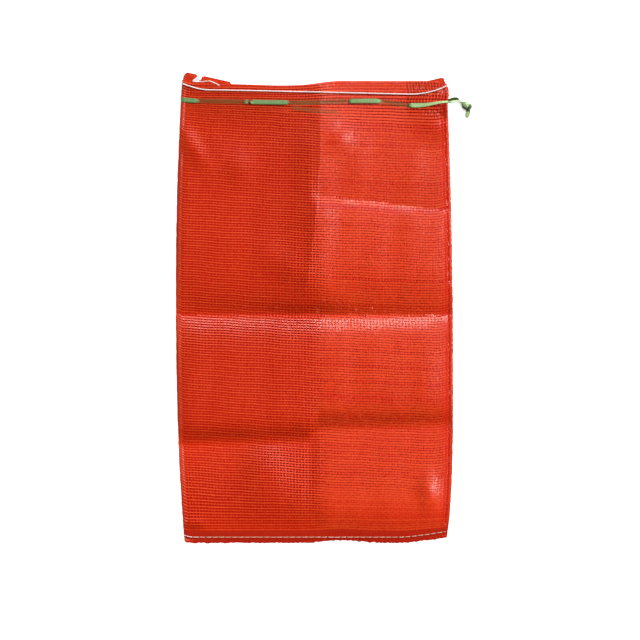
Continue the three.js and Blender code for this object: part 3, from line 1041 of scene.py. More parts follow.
@dataclass(frozen=True)
class BackLayer(Layer):
    """Back of the bag: from the base hem on the front round the lower edge, up the back and over its lip."""

    form: BagForm
    drawstring: "Drawstring"
    way = Way.DOWN
    skin: float = 0.9 * MM
    floor_z: float = 1.15 * MM
    bulge: float = 1.2 * MM
    lip_radius: float = 0.6 * MM
    hem: float = 18.0 * MM
    lip_follow: float = 250.0 * MM
    over_string: float = 1.2 * MM
    string_reach: float = 9.0 * MM
    string_in: Change = Change(0.0, 1.0, -45.0 * MM, -30.0 * MM)
    string_out: Change = Change(1.0, 0.0, 32.0 * MM, 47.0 * MM)
    corner_rise: float = 14.0 * MM
    left_inset: float = 3.0 * MM
    right_inset: float = 5.0 * MM
    corner_share: float = 0.06
    # painted shade: how much of their tint the tapes keep in the base hem, on the back and at the lip
    hem_shade_tone: float = 0.1
    back_shade_tone: float = 0.8
    lip_shade_tone: float = 0.5
    # random tints at the lip paint the shade and highlights of the crumpled net
    lip_spread: float = 0.45
    lip_far: float = 40.0 * MM
    lip_near: float = 15.0 * MM

    def fold_radius(self) -> float:
        """Radius of the turn round the lower edge."""
        return (self.form.hem_z - self.form.hem_drop - self.skin - self.floor_z) / 2.0

    def hem_run(self) -> float:
        """Length of the base hem on the front."""
        return self.form.hem_top - self.form.base_y - self.fold_radius()

    def back_start(self) -> float:
        """Length along at which the back starts."""
        return self.hem_run() + np.pi * self.fold_radius()

    def lip(self) -> float:
        """Length along at which the back turns over at the mouth."""
        rise = self.form.mouth_y - self.lip_radius - self.form.base_y - self.fold_radius()
        return self.back_start() + rise

    def at_lip(self, s: Array) -> Array:
        """How near to the lip a length along is."""
        return ease(s, self.lip() - self.lip_far, self.lip() - self.lip_near)

    def tone(self, s: Array) -> Array:
        """Painted shade: tapes are darkest in the base hem, where they lie on two more layers, darker at the
        lip and a little on the back.
        """
        back = blend(self.back_shade_tone, self.lip_shade_tone, self.at_lip(s))
        return np.where(s < self.back_start(), self.hem_shade_tone, back)

    def uneven(self, s: Array) -> Array:
        """Tapes differ more near the lip, where the net is crumpled: the random tints paint the crumples'
        shade and highlights.
        """
        return blend(self.tint_spread, self.lip_spread, self.at_lip(s))

    def back_z(self, x: Array, y: Array) -> Array:
        """Height of the back: just off the floor, raised where the drawstring runs under it."""
        run_y = self.drawstring.run_y(self.drawstring.back_route, x)
        outside = 1.0 - self.string_in.at(x) * self.string_out.at(x)
        return self.floor_z + self.over_string * outside * bell(y - run_y, self.string_reach)

    def place(self, u: Array, s: Array) -> Array:
        """Down the base hem, half a turn round the lower edge, up the back, half a turn and down inside."""
        form = self.form
        radius = self.fold_radius()
        under = np.clip((s - self.hem_run()) / radius, 0.0, np.pi)
        climbed = np.clip(s - self.back_start(), 0.0, self.lip() - self.back_start())
        up, inward = self.over_lip(s)
        level = np.where(s < self.hem_run(), form.hem_top - s, form.base_y + radius + climbed)
        in_corner = ease(level, form.mouth_y - self.corner_rise, form.mouth_y)
        left = self.left_inset * (1.0 - ease(u, 0.0, self.corner_share))
        right = self.right_inset * ease(u, 1.0 - self.corner_share, 1.0)
        x = form.across(u, level) + (left - right) * in_corner
        lip_shift = (form.back_lip_y(x) - form.mouth_y) * ease(level, self.lip_follow, form.mouth_y)
        base_shift = form.base_shift(x) * form.follow_base(level)
        y = level + lip_shift + base_shift - (radius + self.bulge) * np.sin(under) + up
        hem_z = form.hem_level(x, level) - self.skin - form.hem_drop * ramp(s, 0.0, self.hem_run())
        back_z = self.back_z(x, level) + inward
        z = blend(hem_z, back_z, (1.0 - np.cos(under)) / 2.0)
        return np.stack([x, y, z], axis=-1)


@dataclass(frozen=True)
class Knit:
    """How a layer is knitted: tapes laid across in courses, and chains on the wales that bind them."""

    seed: int
    tape_stops: tuple[float, ...]
    wales: int = 86
    course: float = 4.19 * MM
    tape_half: float = 1.0 * MM
    tape_uneven: float = 0.07
    pinch: Pair = (0.92, 0.82)
    crown: float = 0.06 * MM
    bound: float = 0.1 * MM
    arch: float = 0.12 * MM
    arch_uneven: float = 0.05 * MM
    roll: float = 0.02
    zigzag: float = 0.25 * MM
    ragged: float = 0.002
    tape_tints: tuple[float, float, float] = (0.86, 0.42, 0.95)
    # painted shade: the edges of tapes and chains keep only this share of their tint
    edge_shade_tint: float = 0.15
    chain_half: float = 0.95 * MM
    chain_uneven: float = 0.08
    chain_waist: float = 0.6
    chain_z: float = -0.25 * MM
    chain_rise: float = 0.5 * MM
    chain_crown: float = 0.15 * MM
    chain_sway: float = 0.0009
    chain_stray: float = 0.0004
    # the last is a painted shade at the chain's low waist between two loops
    loop_tints: tuple[float, float, float] = (0.85, 1.0, 0.05)
    loop_uneven: float = 0.12
    fall: float = 0.058
    fall_bow: float = 0.008
    fall_fade: float = 95.0 * MM
    base_level: float = 20.0 * MM
    mouth_level: float = 28.0 * MM
    rim_lift: float = 0.035
    rim_start: float = 0.85
    waves: tuple[Ripple, ...] = (
        Ripple(0.5 * MM, 1.0 / 2.3, 1.0 / 5.1),
        Ripple(0.35 * MM, 1.0 / 7.0, -1.0 / 3.0),
    )
    curl: float = 5.0 * MM
    curl_start: float = 0.955
    curl_base: Pair = (20.0 * MM, 60.0 * MM)
    curl_mouth: Pair = (70.0 * MM, 56.0 * MM)
    spread: float = 1.0
    spread_start: float = 0.955
    spread_end: float = 0.98
    # painted shade: tapes that spread at the right fold are painted dimmer, edge and crown
    spread_edge: float = 0.12
    spread_crown: float = 0.3
    fullness: float = 1.0
    full_start: float = 0.47
    full_end: float = 0.56
    full_tape: float = 0.74
    full_edge: float = 0.36
    full_crown: float = 0.5
    full_uneven: float = 0.2
    full_chain: float = 0.85
    full_lined: float = 0.75

    def courses(self, layer: Layer) -> Array:
        """Lengths along at which the courses lie."""
        count = int(layer.length() / self.course)
        return (np.arange(count) + 0.5) * layer.length() / count

    def fallen(self, layer: Layer, u: Array, s: Array) -> Array:
        """Length along of a course: it falls to the right on a shallow curve, but not at the hems.

        It also waves a little, rises again at the right rim, and curls up at the left one below the cord.

        Args:
            layer: the surface that the course lies on.
            u: share across.
            s: length along at which the course would lie if it were level.

        Returns:
            The length along at which it lies.
        """
        span = layer.length()
        w = 2.0 * u - 1.0
        at_rim = np.maximum((w - self.rim_start) / (1.0 - self.rim_start), 0.0)
        curve = self.fall_bow * (w * w - 1.0) - self.fall * w + self.rim_lift * at_rim**2
        wave = sum(ripple.at(u, s) for ripple in self.waves)
        hold = ease(s, self.base_level, self.fall_fade)
        hold = hold * (1.0 - ease(s, span - self.fall_fade, span - self.mouth_level))
        below_string = ease(s, *self.curl_base)
        below_string = below_string * (1.0 - ease(s, span - self.curl_mouth[0], span - self.curl_mouth[1]))
        curl = self.curl * ease(-w, self.curl_start, 1.0)
        return s + (curve * layer.form.half_width + wave) * hold + curl * below_string

    def spread_share(self, u: Array) -> Array:
        """How far the tapes have spread till they touch, which they do along the right fold."""
        return self.spread * ease(u, self.spread_start, self.spread_end)

    def full(self, u: Array) -> Array:
        """How full the tapes are, which they are right of the long fold."""
        return self.fullness * ease(u, self.full_start, self.full_end)

    def bands(self, layer: Layer, *breaks: float) -> list[Array]:
        """Course numbers from the first up, parted at the layer's middle and the given lengths along."""
        courses = self.courses(layer)
        stops = np.searchsorted(courses, sorted([*breaks, layer.length() / 2.0]))
        return np.split(np.arange(len(courses)), stops)

    @staticmethod
    def marked(
        layer: Layer, middle: Array, sides: list[Array], rises: list[Array], tints: list[Array]
    ) -> Shell:
        """Tubes of a three-sided section, with the marks that their finish reads.

        Args:
            layer: the surface that they lie on.
            middle: points of that surface under the middle of each section.
            sides: the three points of each section.
            rises: how far the surface rises from the middle to each of them.
            tints: how bright each of them is.

        Returns:
            The closed tubes.
        """
        turned = slice(None, None, layer.way.value)
        marks = {
            "tint": np.stack(tints[turned], axis=2),
            "relief": np.stack(rises[turned], axis=2) + layer.relief(middle)[..., None],
            "behind": layer.behind(middle)[..., None],
        }
        return Shell.tubes(np.stack(sides[turned], axis=2), marks)

    def tapes(self, layer: Layer, band: Array) -> Shell:
        """Laid-in tapes: a low ridged section, full between the wales and pinched where a chain binds it.

        Args:
            layer: the surface that the tapes lie on.
            band: the numbers of the courses to make.

        Returns:
            The tapes, one tube for each course.
        """
        random = np.random.default_rng(self.seed + int(band[0]))
        stops = np.array(self.tape_stops)
        cells = np.arange(self.wales)[:, None] + 0.5 + stops[None, :]
        inner = np.tile(cells.ravel() / self.wales, (len(band), 1))
        ends = self.ragged * random.random((len(band), 2))
        u = np.concatenate([-ends[:, :1], inner, 1.0 + ends[:, 1:]], axis=1)
        at_wale = np.concatenate([[0.0], np.tile(stops == 0.0, self.wales), [0.0]])[None, :]
        courses = self.courses(layer)[band][:, None]
        row = band[:, None]
        even = row % 2 == 0
        odd = (row + np.floor(u * self.wales)) % 2.0 * 2.0 - 1.0
        full = self.full(u)
        spread = self.spread_share(u)
        tied = blend(1.0, np.where(even, *self.pinch), at_wale)
        width = self.tape_half * (1.0 + self.full_tape * full)
        width = width * (1.0 + self.tape_uneven * random.standard_normal(u.shape)) * tied
        width = blend(width, self.course / 2.0, spread)
        s = self.fallen(layer, u, courses) + odd * self.zigzag * at_wale
        middle, _, out = layer.frames(u, s)
        lower = layer.place(u, s - width)
        upper = layer.place(u, s + width)
        height = blend(self.arch, -self.bound, at_wale) + self.arch_uneven * random.standard_normal(u.shape)
        roll = self.roll * random.standard_normal(u.shape) * (1.0 - at_wale) * width
        sides = [
            lower + out * (height - roll)[..., None],
            upper + out * (height + roll)[..., None],
            middle + out * (height + self.crown)[..., None],
        ]
        lined, dotted, knotted = self.tape_tints
        dotted = blend(dotted, lined, self.full_lined * full)
        tint = np.where(even, lined, blend(dotted, knotted, at_wale))
        tint = tint + layer.uneven(courses) * random.standard_normal(u.shape)
        tint = tint + self.full_uneven * full * random.standard_normal((len(band), 1))
        tint = np.clip(tint, 0.0, 1.0) * layer.tone(courses) * layer.fold_tone(u)
        # painted shade on each tape's edges and painted highlight on its crown, less so where the tapes are
        # full
        edge = tint * blend(blend(self.edge_shade_tint, self.full_edge, full), self.spread_edge, spread)
        crown = tint * blend(blend(1.0, self.full_crown, full), self.spread_crown, spread)
        rise = (upper - lower)[..., 2] / 2.0
        return self.marked(layer, middle, sides, [-rise, rise, 0.0 * rise], [edge, edge, crown])

    def chains(self, layer: Layer) -> Shell:
        """Chains of loops: a ridged section, wide and high at each course, with a waist between two.

        Args:
            layer: the surface that the chains lie on.

        Returns:
            The chains, one tube for each wale.
        """
        random = np.random.default_rng(self.seed + 1)
        courses = self.courses(layer)
        step = courses[1] - courses[0]
        stops = (courses[:, None] - [[step / 2.0, 0.0]]).ravel()[None, 1:]
        wale_u = ((np.arange(self.wales) + 0.5) / self.wales)[:, None]
        shape = (self.wales, stops.shape[1])
        ring = np.arange(stops.shape[1])[None, :]
        at_course = (ring % 2 == 0).astype(float)
        leans_right = ring % 4 < 2
        sway = self.chain_sway * np.where(leans_right, 1.0, -1.0) * at_course
        u = wale_u + sway + self.chain_stray * random.standard_normal(shape)
        middle, across, out = layer.frames(u, self.fallen(layer, u, stops))
        width = self.chain_half * blend(self.chain_waist, 1.0, at_course)
        width = width * blend(1.0, self.full_chain, self.full(wale_u))
        width = width * (1.0 + self.chain_uneven * random.standard_normal(shape))
        height = self.chain_z + self.chain_rise * at_course
        centre = middle + out * height[..., None]
        edge = across * width[..., None]
        sides = [centre - edge, centre + out * self.chain_crown, centre + edge]
        right, left, waist = self.loop_tints
        # painted shade at the waist, where the chain dips under the tapes
        tint = blend(waist, np.where(leans_right, right, left), at_course)
        tint = tint + self.loop_uneven * random.standard_normal(shape)
        tint = np.clip(tint, 0.0, 1.0) * layer.tone(stops)
        # painted shade on each chain's edges
        dull = tint * self.edge_shade_tint
        rise = edge[..., 2]
        return self.marked(layer, middle, sides, [-rise, 0.0 * rise, rise], [dull, tint, dull])


@dataclass(frozen=True)
class NetBag:
    """Two layers of net with their hems."""

    form: BagForm
    drawstring: "Drawstring"
    crease: float = 1.2
    laid: TapeFinish = TapeFinish("laid_tape")
    chained: TapeFinish = TapeFinish("chain_tape", (2600.0, 90.0, 2600.0), roughness=0.42, gloss=0.32)
    # painted shade: the back layer, which lies in the front's shade, is a slightly deeper red copy with less
    # gloss
    inner: TapeFinish = TapeFinish("inner_tape_shaded", deep=(0.56, 0.003, 0.0003), gloss=0.12)
    # painted shade: the base hem and the back lip take a darker copy of the tape finish
    sewn: TapeFinish = TapeFinish("hem_tape_shaded", deep=(0.43, 0.016, 0.006), gloss=0.12)
    front_knit: Knit = Knit(seed=3, tape_stops=(-1.0 / 3.0, 0.0, 1.0 / 3.0))
    back_knit: Knit = Knit(
        seed=11,
        tape_stops=(-0.5, 0.0),
        tape_half=3.2 * MM,
        pinch=(1.0, 1.0),
        zigzag=0.0,
        spread=0.0,
        fullness=0.0,
        fall=0.05,
    )

    def knit(
        self,
        name: str,
        knit: Knit,
        layer: Layer,
        bands: dict[str, tuple[Array, bpy.types.Material]],
        chained: bpy.types.Material,
    ) -> bpy.types.Object:
        """Knits one layer and puts its tapes and chains into the scene.

        Args:
            name: what the names of the layer's pieces start with.
            knit: how the layer is knitted.
            layer: the layer's surface.
            bands: the course numbers and the finish of each band of tapes, by the band's name.
            chained: the finish of the chains.

        Returns:
            The layer's first piece.
        """
        made = [
            knit.tapes(layer, band).piece(f"{name}_laid_{part}", finish, Slot.NET, self.crease)
            for part, (band, finish) in bands.items()
        ]
        knit.chains(layer).piece(f"{name}_chain", chained, Slot.NET, self.crease)
        return made[0]

    def build(self) -> None:
        """Makes the finishes and both layers."""
        finishes = (self.laid, self.chained, self.inner, self.sewn)
        laid, chained, inner, sewn = (finish.material() for finish in finishes)
        front = FrontLayer(self.form, self.drawstring)
        low, high = self.front_knit.bands(front)
        front_bands = {"low": (low, laid), "high": (high, laid)}
        first = self.knit("net_front", self.front_knit, front, front_bands, chained)
        back = BackLayer(self.form, self.drawstring)
        hem, low, high, lip = self.back_knit.bands(back, back.back_start(), back.lip())
        back_bands = {"hem": (hem, sewn), "low": (low, inner), "high": (high, inner), "lip": (lip, sewn)}
        self.knit("net_back", self.back_knit, back, back_bands, inner)
        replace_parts(first, "bag_net")


# Drawstring


@dataclass(frozen=True)
class Braid:
    """Flat braided cord: the size of its section and the relief of its strands."""

    width: float
    thick: float
    relief: float = 0.2 * MM
    relief_level: float = 0.5
    sides: int = 18
    square: float = 0.62
    thin_below: float = 0.25
    edge_shade: float = 0.5
    edge_power: int = 6

    def section(self) -> tuple[Array, Array]:
        """Share of the half width and of the half height at each corner: a round with blunted waves."""
        angle = TURN * np.arange(self.sides) / self.sides
        return blunt(np.cos(angle), self.square), blunt(np.sin(angle), self.square)

    def shell(
        self,
        line: Array,
        lead: Array,
        width: Array | float = 1.0,
        twist: Array | float = 0.0,
        shade: Array | float = 1.0,
    ) -> Shell:
        """Cord along a line.

        The section is a flattened round whose sine and cosine are raised to a power below one. Two sets of
        slanted strands stand out of it by the larger of two waves that run along and across.

        Args:
            line: the middle of the cord.
            lead: the direction of its width, at each point or for all.
            width: share of the full width, at each point or for all.
            twist: turn of the section about the line, at each point or for all.
            shade: how light the cord is painted, at each point or for all, painted shade and tone together.

        Returns:
            The closed cord, with marks for its finish.
        """
        tangent = unit(np.gradient(line, axis=0))
        level_way = unit(lead - tangent * (lead * tangent).sum(axis=-1, keepdims=True))
        high_way = np.cross(tangent, level_way)
        turn = np.broadcast_to(twist, line.shape[:1])[:, None]
        across = level_way * np.cos(turn) + high_way * np.sin(turn)
        out = high_way * np.cos(turn) - level_way * np.sin(turn)
        share, level = (wave[None, :] for wave in self.section())
        scale = np.broadcast_to(width, line.shape[:1])[:, None]
        run = run_of(line)[:, None]
        phase = TURN * run / BRAID_PITCH
        slope = TURN * BRAID_SLANT * share
        strand = np.maximum(np.sin(phase + slope), np.sin(phase - slope))
        thick = self.thick / 2.0 + self.relief * (strand - self.relief_level)
        flat = self.width / 2.0 * scale * share
        high = thick * level * np.sqrt(ramp(scale, 0.0, self.thin_below))
        rings = line[:, None] + across[:, None] * flat[..., None] + out[:, None] * high[..., None]
        clean_and_lit = np.broadcast_to(shade, line.shape[:1])[:, None]
        # painted shade towards the cord's edges
        clean_and_lit = clean_and_lit * (1.0 - self.edge_shade * share**self.edge_power)
        marks = {"along": run[None], "across": share[None], "shade": clean_and_lit[None]}
        return Shell.tubes(rings[None], marks)


@dataclass(frozen=True)
class Drawstring:
    """Flat cord laced through the net below the mouth, along the back, the left fold and the front."""

    form: BagForm
    braid: Braid = Braid(7.5 * MM, 1.0 * MM)
    crease: float = 1.4
    left: float = -211.0 * MM
    right: float = 218.0 * MM
    lift: float = 0.6 * MM
    lace_turn: float = 13.0 * MM
    wrap_reach: float = 7.2 * MM
    wrap_points: int = 24
    run_points: int = 300
    step: float = 0.8 * MM
    gather: float = 0.4
    gather_reach: float = 3.5 * MM
    narrowing: Change = Change(1.0, 0.5, 0.160, 0.216)
    turning: Change = Change(0.0, np.pi, -0.112, -0.099)
    # darker to the left and lighter near the right end; a painted highlight where the cord is turned over
    x_tone: Change = Change(0.28, 0.72, 0.02, 0.2)
    end_lightening: Change = Change(0.0, 0.4, 0.188, 0.212)
    turn_highlight: Swell = Swell(0.5, -0.112, 6.0 * MM)
    hidden_shade: float = -0.85
    hidden_power: int = 4
    front_inside_z: float = 3.7 * MM
    back_outside_z: float = 0.65 * MM
    back_inside_z: float = 2.6 * MM
    back_behind: float = 0.5
    front_shown: tuple[Pair, ...] = (
        (-0.230, -0.189),
        (-0.116, -0.041),
        (0.054, 0.110),
        (0.153, 0.240),
    )
    back_hidden: Pair = (-0.036, 0.038)
    front_route: tuple[Pair, ...] = (
        (-0.211, 0.340),
        (-0.186, 0.3385),
        (-0.117, 0.337),
        (-0.069, 0.336),
        (-0.012, 0.336),
        (0.053, 0.338),
        (0.108, 0.338),
        (0.150, 0.332),
        (0.178, 0.3318),
        (0.204, 0.336),
        (0.218, 0.3374),
    )
    back_route: tuple[Pair, ...] = (
        (-0.211, 0.345),
        (-0.150, 0.339),
        (-0.080, 0.331),
        (-0.036, 0.327),
        (0.038, 0.320),
        (0.090, 0.322),
        (0.156, 0.330),
        (0.218, 0.3396),
    )

    def run_y(self, route: tuple[Pair, ...], x: Array) -> Array:
        """Place along Y of a smoothed run, seen from above."""
        run = smooth_line(route, self.run_points)
        return np.interp(x, run[:, 0], run[:, 1])

    def within(self, stretch: Pair, x: Array) -> Array:
        """1 well inside a stretch and 0 outside it, with a smooth turn at each end."""
        turn = self.lace_turn / 2.0
        inside = ease(x, stretch[0] - turn, stretch[0] + turn)
        return inside * (1.0 - ease(x, stretch[1] - turn, stretch[1] + turn))

    def shown(self, x: Array) -> Array:
        """How far the front run lies outside the net."""
        return np.max([self.within(stretch, x) for stretch in self.front_shown], axis=0)

    def behind(self, x: Array, y: Array) -> Array:
        """How much of the hidden cord lies behind a place: flat over the cord's width, then a steep fall."""
        half = self.braid.width / 2.0
        front = bell(y - self.run_y(self.front_route, x), half, self.hidden_power)
        back = bell(y - self.run_y(self.back_route, x), half, self.hidden_power)
        back = self.back_behind * self.within(self.back_hidden, x) * back
        return np.maximum((1.0 - self.shown(x)) * front, back)

    def line(self) -> Array:
        """Middle line: the back run to the left, half a turn round the fold, the front run to the right."""
        count = int((self.right - self.left) / self.step)
        x = np.linspace(self.left, self.right, count)
        front_y = self.run_y(self.front_route, x)
        above = self.form.front_z(x, front_y) + self.lift + self.braid.thick / 2.0
        front_run = np.stack([x, front_y, blend(self.front_inside_z, above, self.shown(x))], axis=1)
        back_y = self.run_y(self.back_route, x)
        back_z = blend(self.back_outside_z, self.back_inside_z, self.within(self.back_hidden, x))
        back_run = np.stack([x, back_y, back_z], axis=1)[::-1]
        angle = np.linspace(0.0, np.pi, self.wrap_points + 2)[1:-1]
        rise = (1.0 - np.cos(angle)) / 2.0
        wrap_x = self.left - self.wrap_reach * np.sin(angle)
        wrap_y = blend(back_run[-1, 1], front_run[0, 1], rise)
        wrap_z = blend(back_run[-1, 2], front_run[0, 2], rise)
        return np.concatenate([back_run, np.stack([wrap_x, wrap_y, wrap_z], axis=1), front_run])

    def build(self, finish: bpy.types.Material) -> None:
        """Makes the laced cord, narrower towards the right end of the front and once turned on itself."""
        line = self.line()
        x = line[:, 0]
        front = np.arange(len(line)) > len(line) / 2
        laces = np.array(self.front_shown).ravel()[1:-1]
        gathered = np.max([bell(x - lace, self.gather_reach) for lace in laces], axis=0) * front
        width = self.narrowing.at(x) * (1.0 - self.gather * gathered)
        twist = np.where(front, self.turning.at(x), 0.0)
        # darker to the left, lighter near the right end, with a painted highlight on the turned place
        shade = self.x_tone.at(x) + self.end_lightening.at(x) + self.turn_highlight.at(x)
        shade = blend(self.hidden_shade, shade, np.where(front, self.shown(x), 0.0))
        shell = self.braid.shell(line, np.array([[0.0, 1.0, 0.0]]), width, twist, shade)
        made = shell.piece("drawstring_laced", finish, Slot.STRING, self.crease)
        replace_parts(made, "drawstring")


@dataclass(frozen=True)
class KnotTurn:
    """One turn of the knot: where it starts and ends along it, its sway, its size and how light it is
    painted, as shade and highlight.
    """

    start: float
    end: float
    sway: float
    reach: float
    shade: float


@dataclass(frozen=True)
class StringEnds:
    """Two free tails that leave at the right fold, the knot that joins them and the short end below it."""

    front_tail: Braid = Braid(3.4 * MM, 1.3 * MM)
    back_tail: Braid = Braid(5.0 * MM, 1.0 * MM)
    end: Braid = Braid(7.2 * MM, 1.3 * MM)
    turn_band: Braid = Braid(4.2 * MM, 1.6 * MM)
    crease: float = 1.4
    front_route: tuple[Point, ...] = (
        (0.2189, 0.3374, 0.0055),
        (0.2208, 0.3370, 0.0053),
        (0.2245, 0.3377, 0.0042),
        (0.2310, 0.3387, 0.0028),
        (0.2362, 0.3386, 0.0027),
        (0.2400, 0.3366, 0.0032),
        (0.2432, 0.3338, 0.0042),
        (0.2465, 0.3316, 0.0048),
    )
    back_route: tuple[Point, ...] = (
        (0.2186, 0.3396, 0.00085),
        (0.2220, 0.3407, 0.00085),
        (0.2260, 0.3421, 0.00085),
        (0.2300, 0.3429, 0.00085),
        (0.2342, 0.3425, 0.00085),
        (0.2382, 0.3402, 0.00085),
        (0.2415, 0.3376, 0.00085),
        (0.2452, 0.3346, 0.0014),
        (0.2482, 0.3320, 0.0024),
    )
    end_route: tuple[Point, ...] = (
        (0.2510, 0.3275, 0.0021),
        (0.2517, 0.3235, 0.0020),
        (0.2512, 0.3195, 0.0015),
        (0.2504, 0.3152, 0.0010),
        (0.2498, 0.3114, 0.00095),
    )
    tail_points: int = 60
    # painted light along the tails and the end: shaded starts, a highlight that fades to the knot, the
    # knot's shadow
    front_flare: Change = Change(1.0, 1.7, 0.55, 0.9)
    front_shade: Change = Change(0.15, 0.9, 0.05, 0.3)
    front_dim: Change = Change(1.0, 0.55, 0.5, 0.75)
    back_edge_on: Change = Change(1.0, 0.3, 0.42, 0.62)
    back_shade: Change = Change(0.02, 1.0, 0.5, 0.62)
    end_points: int = 40
    end_shade: Change = Change(0.15, 1.0, 0.25, 0.5)
    tip_start: float = 0.7
    tip_end: float = 1.005
    tip_least: float = 0.02
    knot_centre: Point = (0.2487, 0.3305, 0.0050)
    knot_lean: float = -0.52
    # painted light: a bright first turn as the highlight, a dark second as the shade between turns, a faint
    # lighter third
    turns: tuple[KnotTurn, ...] = (
        KnotTurn(-8.8 * MM, 2.6 * MM, 0.8 * MM, 1.0, 1.15),
        KnotTurn(2.4 * MM, 8.4 * MM, 0.5 * MM, 1.05, 0.1),
        KnotTurn(5.8 * MM, 6.8 * MM, 0.5 * MM, 1.16, 0.5),
    )
    turn_radii: Point = (9.2 * MM, 4.4 * MM, 3.8 * MM)
    turn_shift: Point = (0.6 * MM, 1.1 * MM, 0.0)
    turn_rings: int = 72
    turn_least: float = 0.05
    turn_strands: float = 6.0
    turn_edge_shade: float = 0.35
    core_radii: Point = (8.0 * MM, 5.0 * MM, 3.4 * MM)
    core_shift: Point = (-0.7 * MM, -1.2 * MM, -1.2 * MM)
    core_rings: int = 22
    core_sides: int = 24
    core_shade: float = 0.06

    def strip(
        self, braid: Braid, route: tuple[Point, ...], width: Array, shade: Array
    ) -> tuple[Array, Shell]:
        """Flat cord along a route, its width kept level.

        Args:
            braid: the cord's section.
            route: the points that it passes through.
            width: share of the full width at each point of its line.
            shade: how light the cord is painted at each point of its line, as painted shade and highlight.

        Returns:
            Its middle line and its mesh.
        """
        line = smooth_line(route, len(width))
        tangent = unit(np.gradient(line, axis=0))
        return line, braid.shell(line, np.cross(UPWARD, tangent), width, 0.0, shade)

    def in_knot(self, parts: list[Array], shift: Point) -> Array:
        """Points from their places along the knot's length, breadth and height.

        Args:
            parts: the three places.
            shift: how far their middle is from the knot's.

        Returns:
            The points, turned with the knot.
        """
        cos, sin = np.cos(self.knot_lean), np.sin(self.knot_lean)
        axes = np.array([[cos, -sin, 0.0], [sin, cos, 0.0], [0.0, 0.0, 1.0]])
        middle = np.array(self.knot_centre) + np.array(shift)
        return np.stack(parts, axis=-1) @ axes.T + middle

    def wrap(self, turn: KnotTurn) -> Shell:
        """One turn of the knot: a band round the long way of an egg, between two places along it.

        The band's section follows the egg: its distance from the long axis is the egg's at that place. The
        place along the axis also sways once round the turn, so that the band leans.

        Args:
            turn: the places, the sway, the share of the egg's size and the shade.

        Returns:
            The closed band.
        """
        length, breadth, height = self.turn_radii
        angle = TURN * np.arange(self.turn_rings)[:, None] / self.turn_rings
        share, level = (wave[None, :] for wave in self.turn_band.section())
        half = (turn.end - turn.start) / 2.0
        place = (turn.start + turn.end) / 2.0 + half * share + turn.sway * np.sin(angle)
        size = np.sqrt(np.clip(1.0 - (place / length) ** 2, self.turn_least, 1.0)) * turn.reach
        thick = self.turn_band.thick / 2.0 * level
        wide = (breadth * size + thick) * np.cos(angle)
        tall = (height * size + thick) * np.sin(angle)
        rings = self.in_knot([place, wide, tall], self.turn_shift)
        along = self.turn_strands * BRAID_PITCH * angle / TURN
        # painted highlight: each turn is brighter towards its end
        shade = turn.shade * (1.0 + self.turn_edge_shade * share)
        return Shell.hoops(rings[None], {"along": along[None], "across": share[None], "shade": shade[None]})

    def core(self) -> Shell:
        """Inside of the knot: an egg made of rings whose size follows a half circle, low and to one side."""
        share = np.cos(np.linspace(np.pi, 0.0, self.core_rings + 2)[1:-1])[:, None]
        angle = TURN * np.arange(self.core_sides)[None, :] / self.core_sides
        size = np.sqrt(1.0 - share**2)
        length = np.broadcast_to(self.core_radii[0] * share, (self.core_rings, self.core_sides))
        breadth = self.core_radii[1] * size * np.cos(angle)
        height = self.core_radii[2] * size * np.sin(angle)
        rings = self.in_knot([length, breadth, height], self.core_shift)
        # painted shade: the core is nearly black, as the shade between the turns
        marks = {"along": length[None], "across": np.cos(angle)[None], "shade": np.array(self.core_shade)}
        return Shell.tubes(rings[None], marks)

    def build(self, tied: bpy.types.Material, pale: bpy.types.Material, dark: bpy.types.Material) -> None:
        """Makes the tails, the knot and its end.

        Args:
            tied: finish of the knot and its end.
            pale: finish of the front tail, a paler copy of the cord's green that paints its highlight.
            dark: finish of the back tail, a darker copy of the cord's green that paints its shade.
        """
        along = np.linspace(0.0, 1.0, self.tail_points)
        # painted shade at the front tail's start, and its painted highlight fades towards the knot
        front_shade = self.front_shade.at(along) * self.front_dim.at(along)
        front_width = self.front_flare.at(along)
        front_line, front_shell = self.strip(self.front_tail, self.front_route, front_width, front_shade)
        # painted shade where the back tail lies low behind the front one, then it is lit
        back_shade = self.back_shade.at(along)
        back_width = self.back_edge_on.at(along)
        back_line, back_shell = self.strip(self.back_tail, self.back_route, back_width, back_shade)
        down = np.linspace(0.0, 1.0, self.end_points)
        round_tip = 1.0 - ramp(down, self.tip_start, self.tip_end) ** 2
        end_width = np.sqrt(np.clip(round_tip, self.tip_least, 1.0))
        # painted shadow of the knot on the top of the end
        _, end_shell = self.strip(self.end, self.end_route, end_width, self.end_shade.at(down))
        knot_shell = Shell.join([self.core(), *map(self.wrap, self.turns), end_shell])
        front_tail = front_shell.piece("drawstring_front_end", pale, Slot.STRING, self.crease)
        back_tail = back_shell.piece("drawstring_back_end", dark, Slot.STRING, self.crease)
        knot = knot_shell.piece("drawstring_tied", tied, Slot.STRING, self.crease)
        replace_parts(front_tail, "drawstring_tail_front")
        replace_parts(back_tail, "drawstring_tail_back")
        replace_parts(knot, "drawstring_knot")


# Sewing


